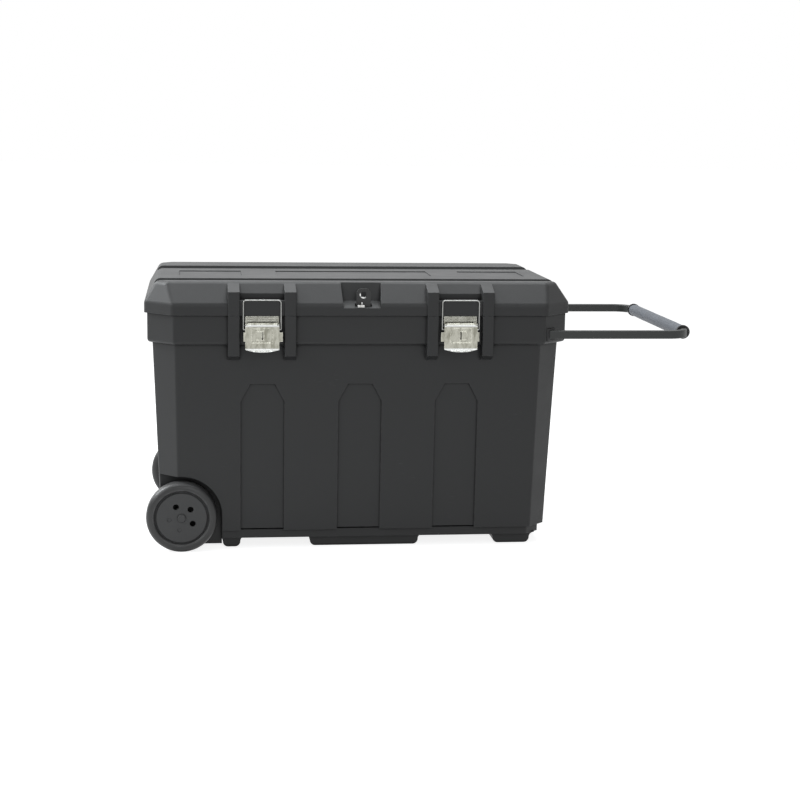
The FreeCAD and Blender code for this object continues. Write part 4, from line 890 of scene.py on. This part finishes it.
def build_fastener_tree():
    tree = bpy.data.node_groups.new("fastener_row", "GeometryNodeTree")
    names = {}
    for label, kind in FASTENER_KINDS.items():
        socket = tree.interface.new_socket(label, in_out="INPUT", socket_type="NodeSocket" + kind)
        names[label] = socket.identifier
    tree.interface.new_socket("Row", in_out="OUTPUT", socket_type="NodeSocketGeometry")
    given, result = tree.nodes.new("NodeGroupInput"), tree.nodes.new("NodeGroupOutput")
    shape = tree.nodes.new("GeometryNodeObjectInfo")
    spin = tree.nodes.new("FunctionNodeRandomValue")
    spin.data_type = "FLOAT"
    spin.inputs["Seed"].default_value = SPIN_SEED
    half_turn = tree.nodes.new("GeometryNodeInputNamedAttribute")
    half_turn.inputs["Name"].default_value = "half_turn"
    angles = tree.nodes.new("ShaderNodeCombineXYZ")
    copies = tree.nodes.new("GeometryNodeInstanceOnPoints")
    real = tree.nodes.new("GeometryNodeRealizeInstances")
    finish = tree.nodes.new("GeometryNodeSetMaterial")
    spin_value = next(out for out in spin.outputs if out.enabled)
    spin_limit = next(inlet for inlet in spin.inputs if inlet.enabled and inlet.name == "Max")
    for start, end in ((given.outputs["Fastener"], shape.inputs["Object"]),
                       (given.outputs["Largest Spin"], spin_limit),
                       (spin_value, angles.inputs["Y"]),
                       (half_turn.outputs["Attribute"], angles.inputs["Z"]),
                       (given.outputs["Places"], copies.inputs["Points"]),
                       (shape.outputs["Geometry"], copies.inputs["Instance"]),
                       (angles.outputs["Vector"], copies.inputs["Rotation"]),
                       (copies.outputs["Instances"], real.inputs["Geometry"]),
                       (real.outputs["Geometry"], finish.inputs["Geometry"]),
                       (given.outputs["Finish"], finish.inputs["Material"]),
                       (finish.outputs["Geometry"], result.inputs["Row"])):
        tree.links.new(start, end)
    return tree, names


FASTENER_TREE, FASTENER_INPUTS = build_fastener_tree()


def fastener_row(node_name, profile_of, relief, head_inside, largest_spin):
    places, length = head_places(node_name, head_inside)
    fastener = turned_shape(node_name + "_shape", profile_of(length / MM), relief)
    cloud = bpy.data.meshes.new(node_name + "_places")
    cloud.from_pydata([spot for spot, _ in places], [], [])
    turns = cloud.attributes.new("half_turn", "FLOAT", "POINT")
    for item, (_, turn) in zip(turns.data, places):
        item.value = turn
    holder = bpy.data.objects.new(node_name + "_places", cloud)
    bpy.context.scene.collection.objects.link(holder)
    modifier = holder.modifiers.new("fastener_row", "NODES")
    modifier.node_group = FASTENER_TREE
    for label, value in (("Fastener", fastener), ("Finish", BRIGHT_STEEL), ("Largest Spin", largest_spin)):
        modifier[FASTENER_INPUTS[label]] = value
    baked = holder.evaluated_get(bpy.context.evaluated_depsgraph_get())
    row = bpy.data.objects.new(node_name + "_row", bpy.data.meshes.new_from_object(baked))
    bpy.context.scene.collection.objects.link(row)
    for helper in (holder, fastener):
        bpy.data.objects.remove(helper)
    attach(row, "tub")
    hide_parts(node_name)
    print(row.name, len(places), "copies,", len(row.data.polygons), "faces")


fastener_row("sleeve_screws", screw_profile, driver_cross, head_inside=True, largest_spin=math.pi)
fastener_row("padlock_eye_screws", screw_profile, driver_cross, head_inside=True, largest_spin=math.pi)
fastener_row("latch_rivets", rivet_profile, plain_top, head_inside=False, largest_spin=0.0)
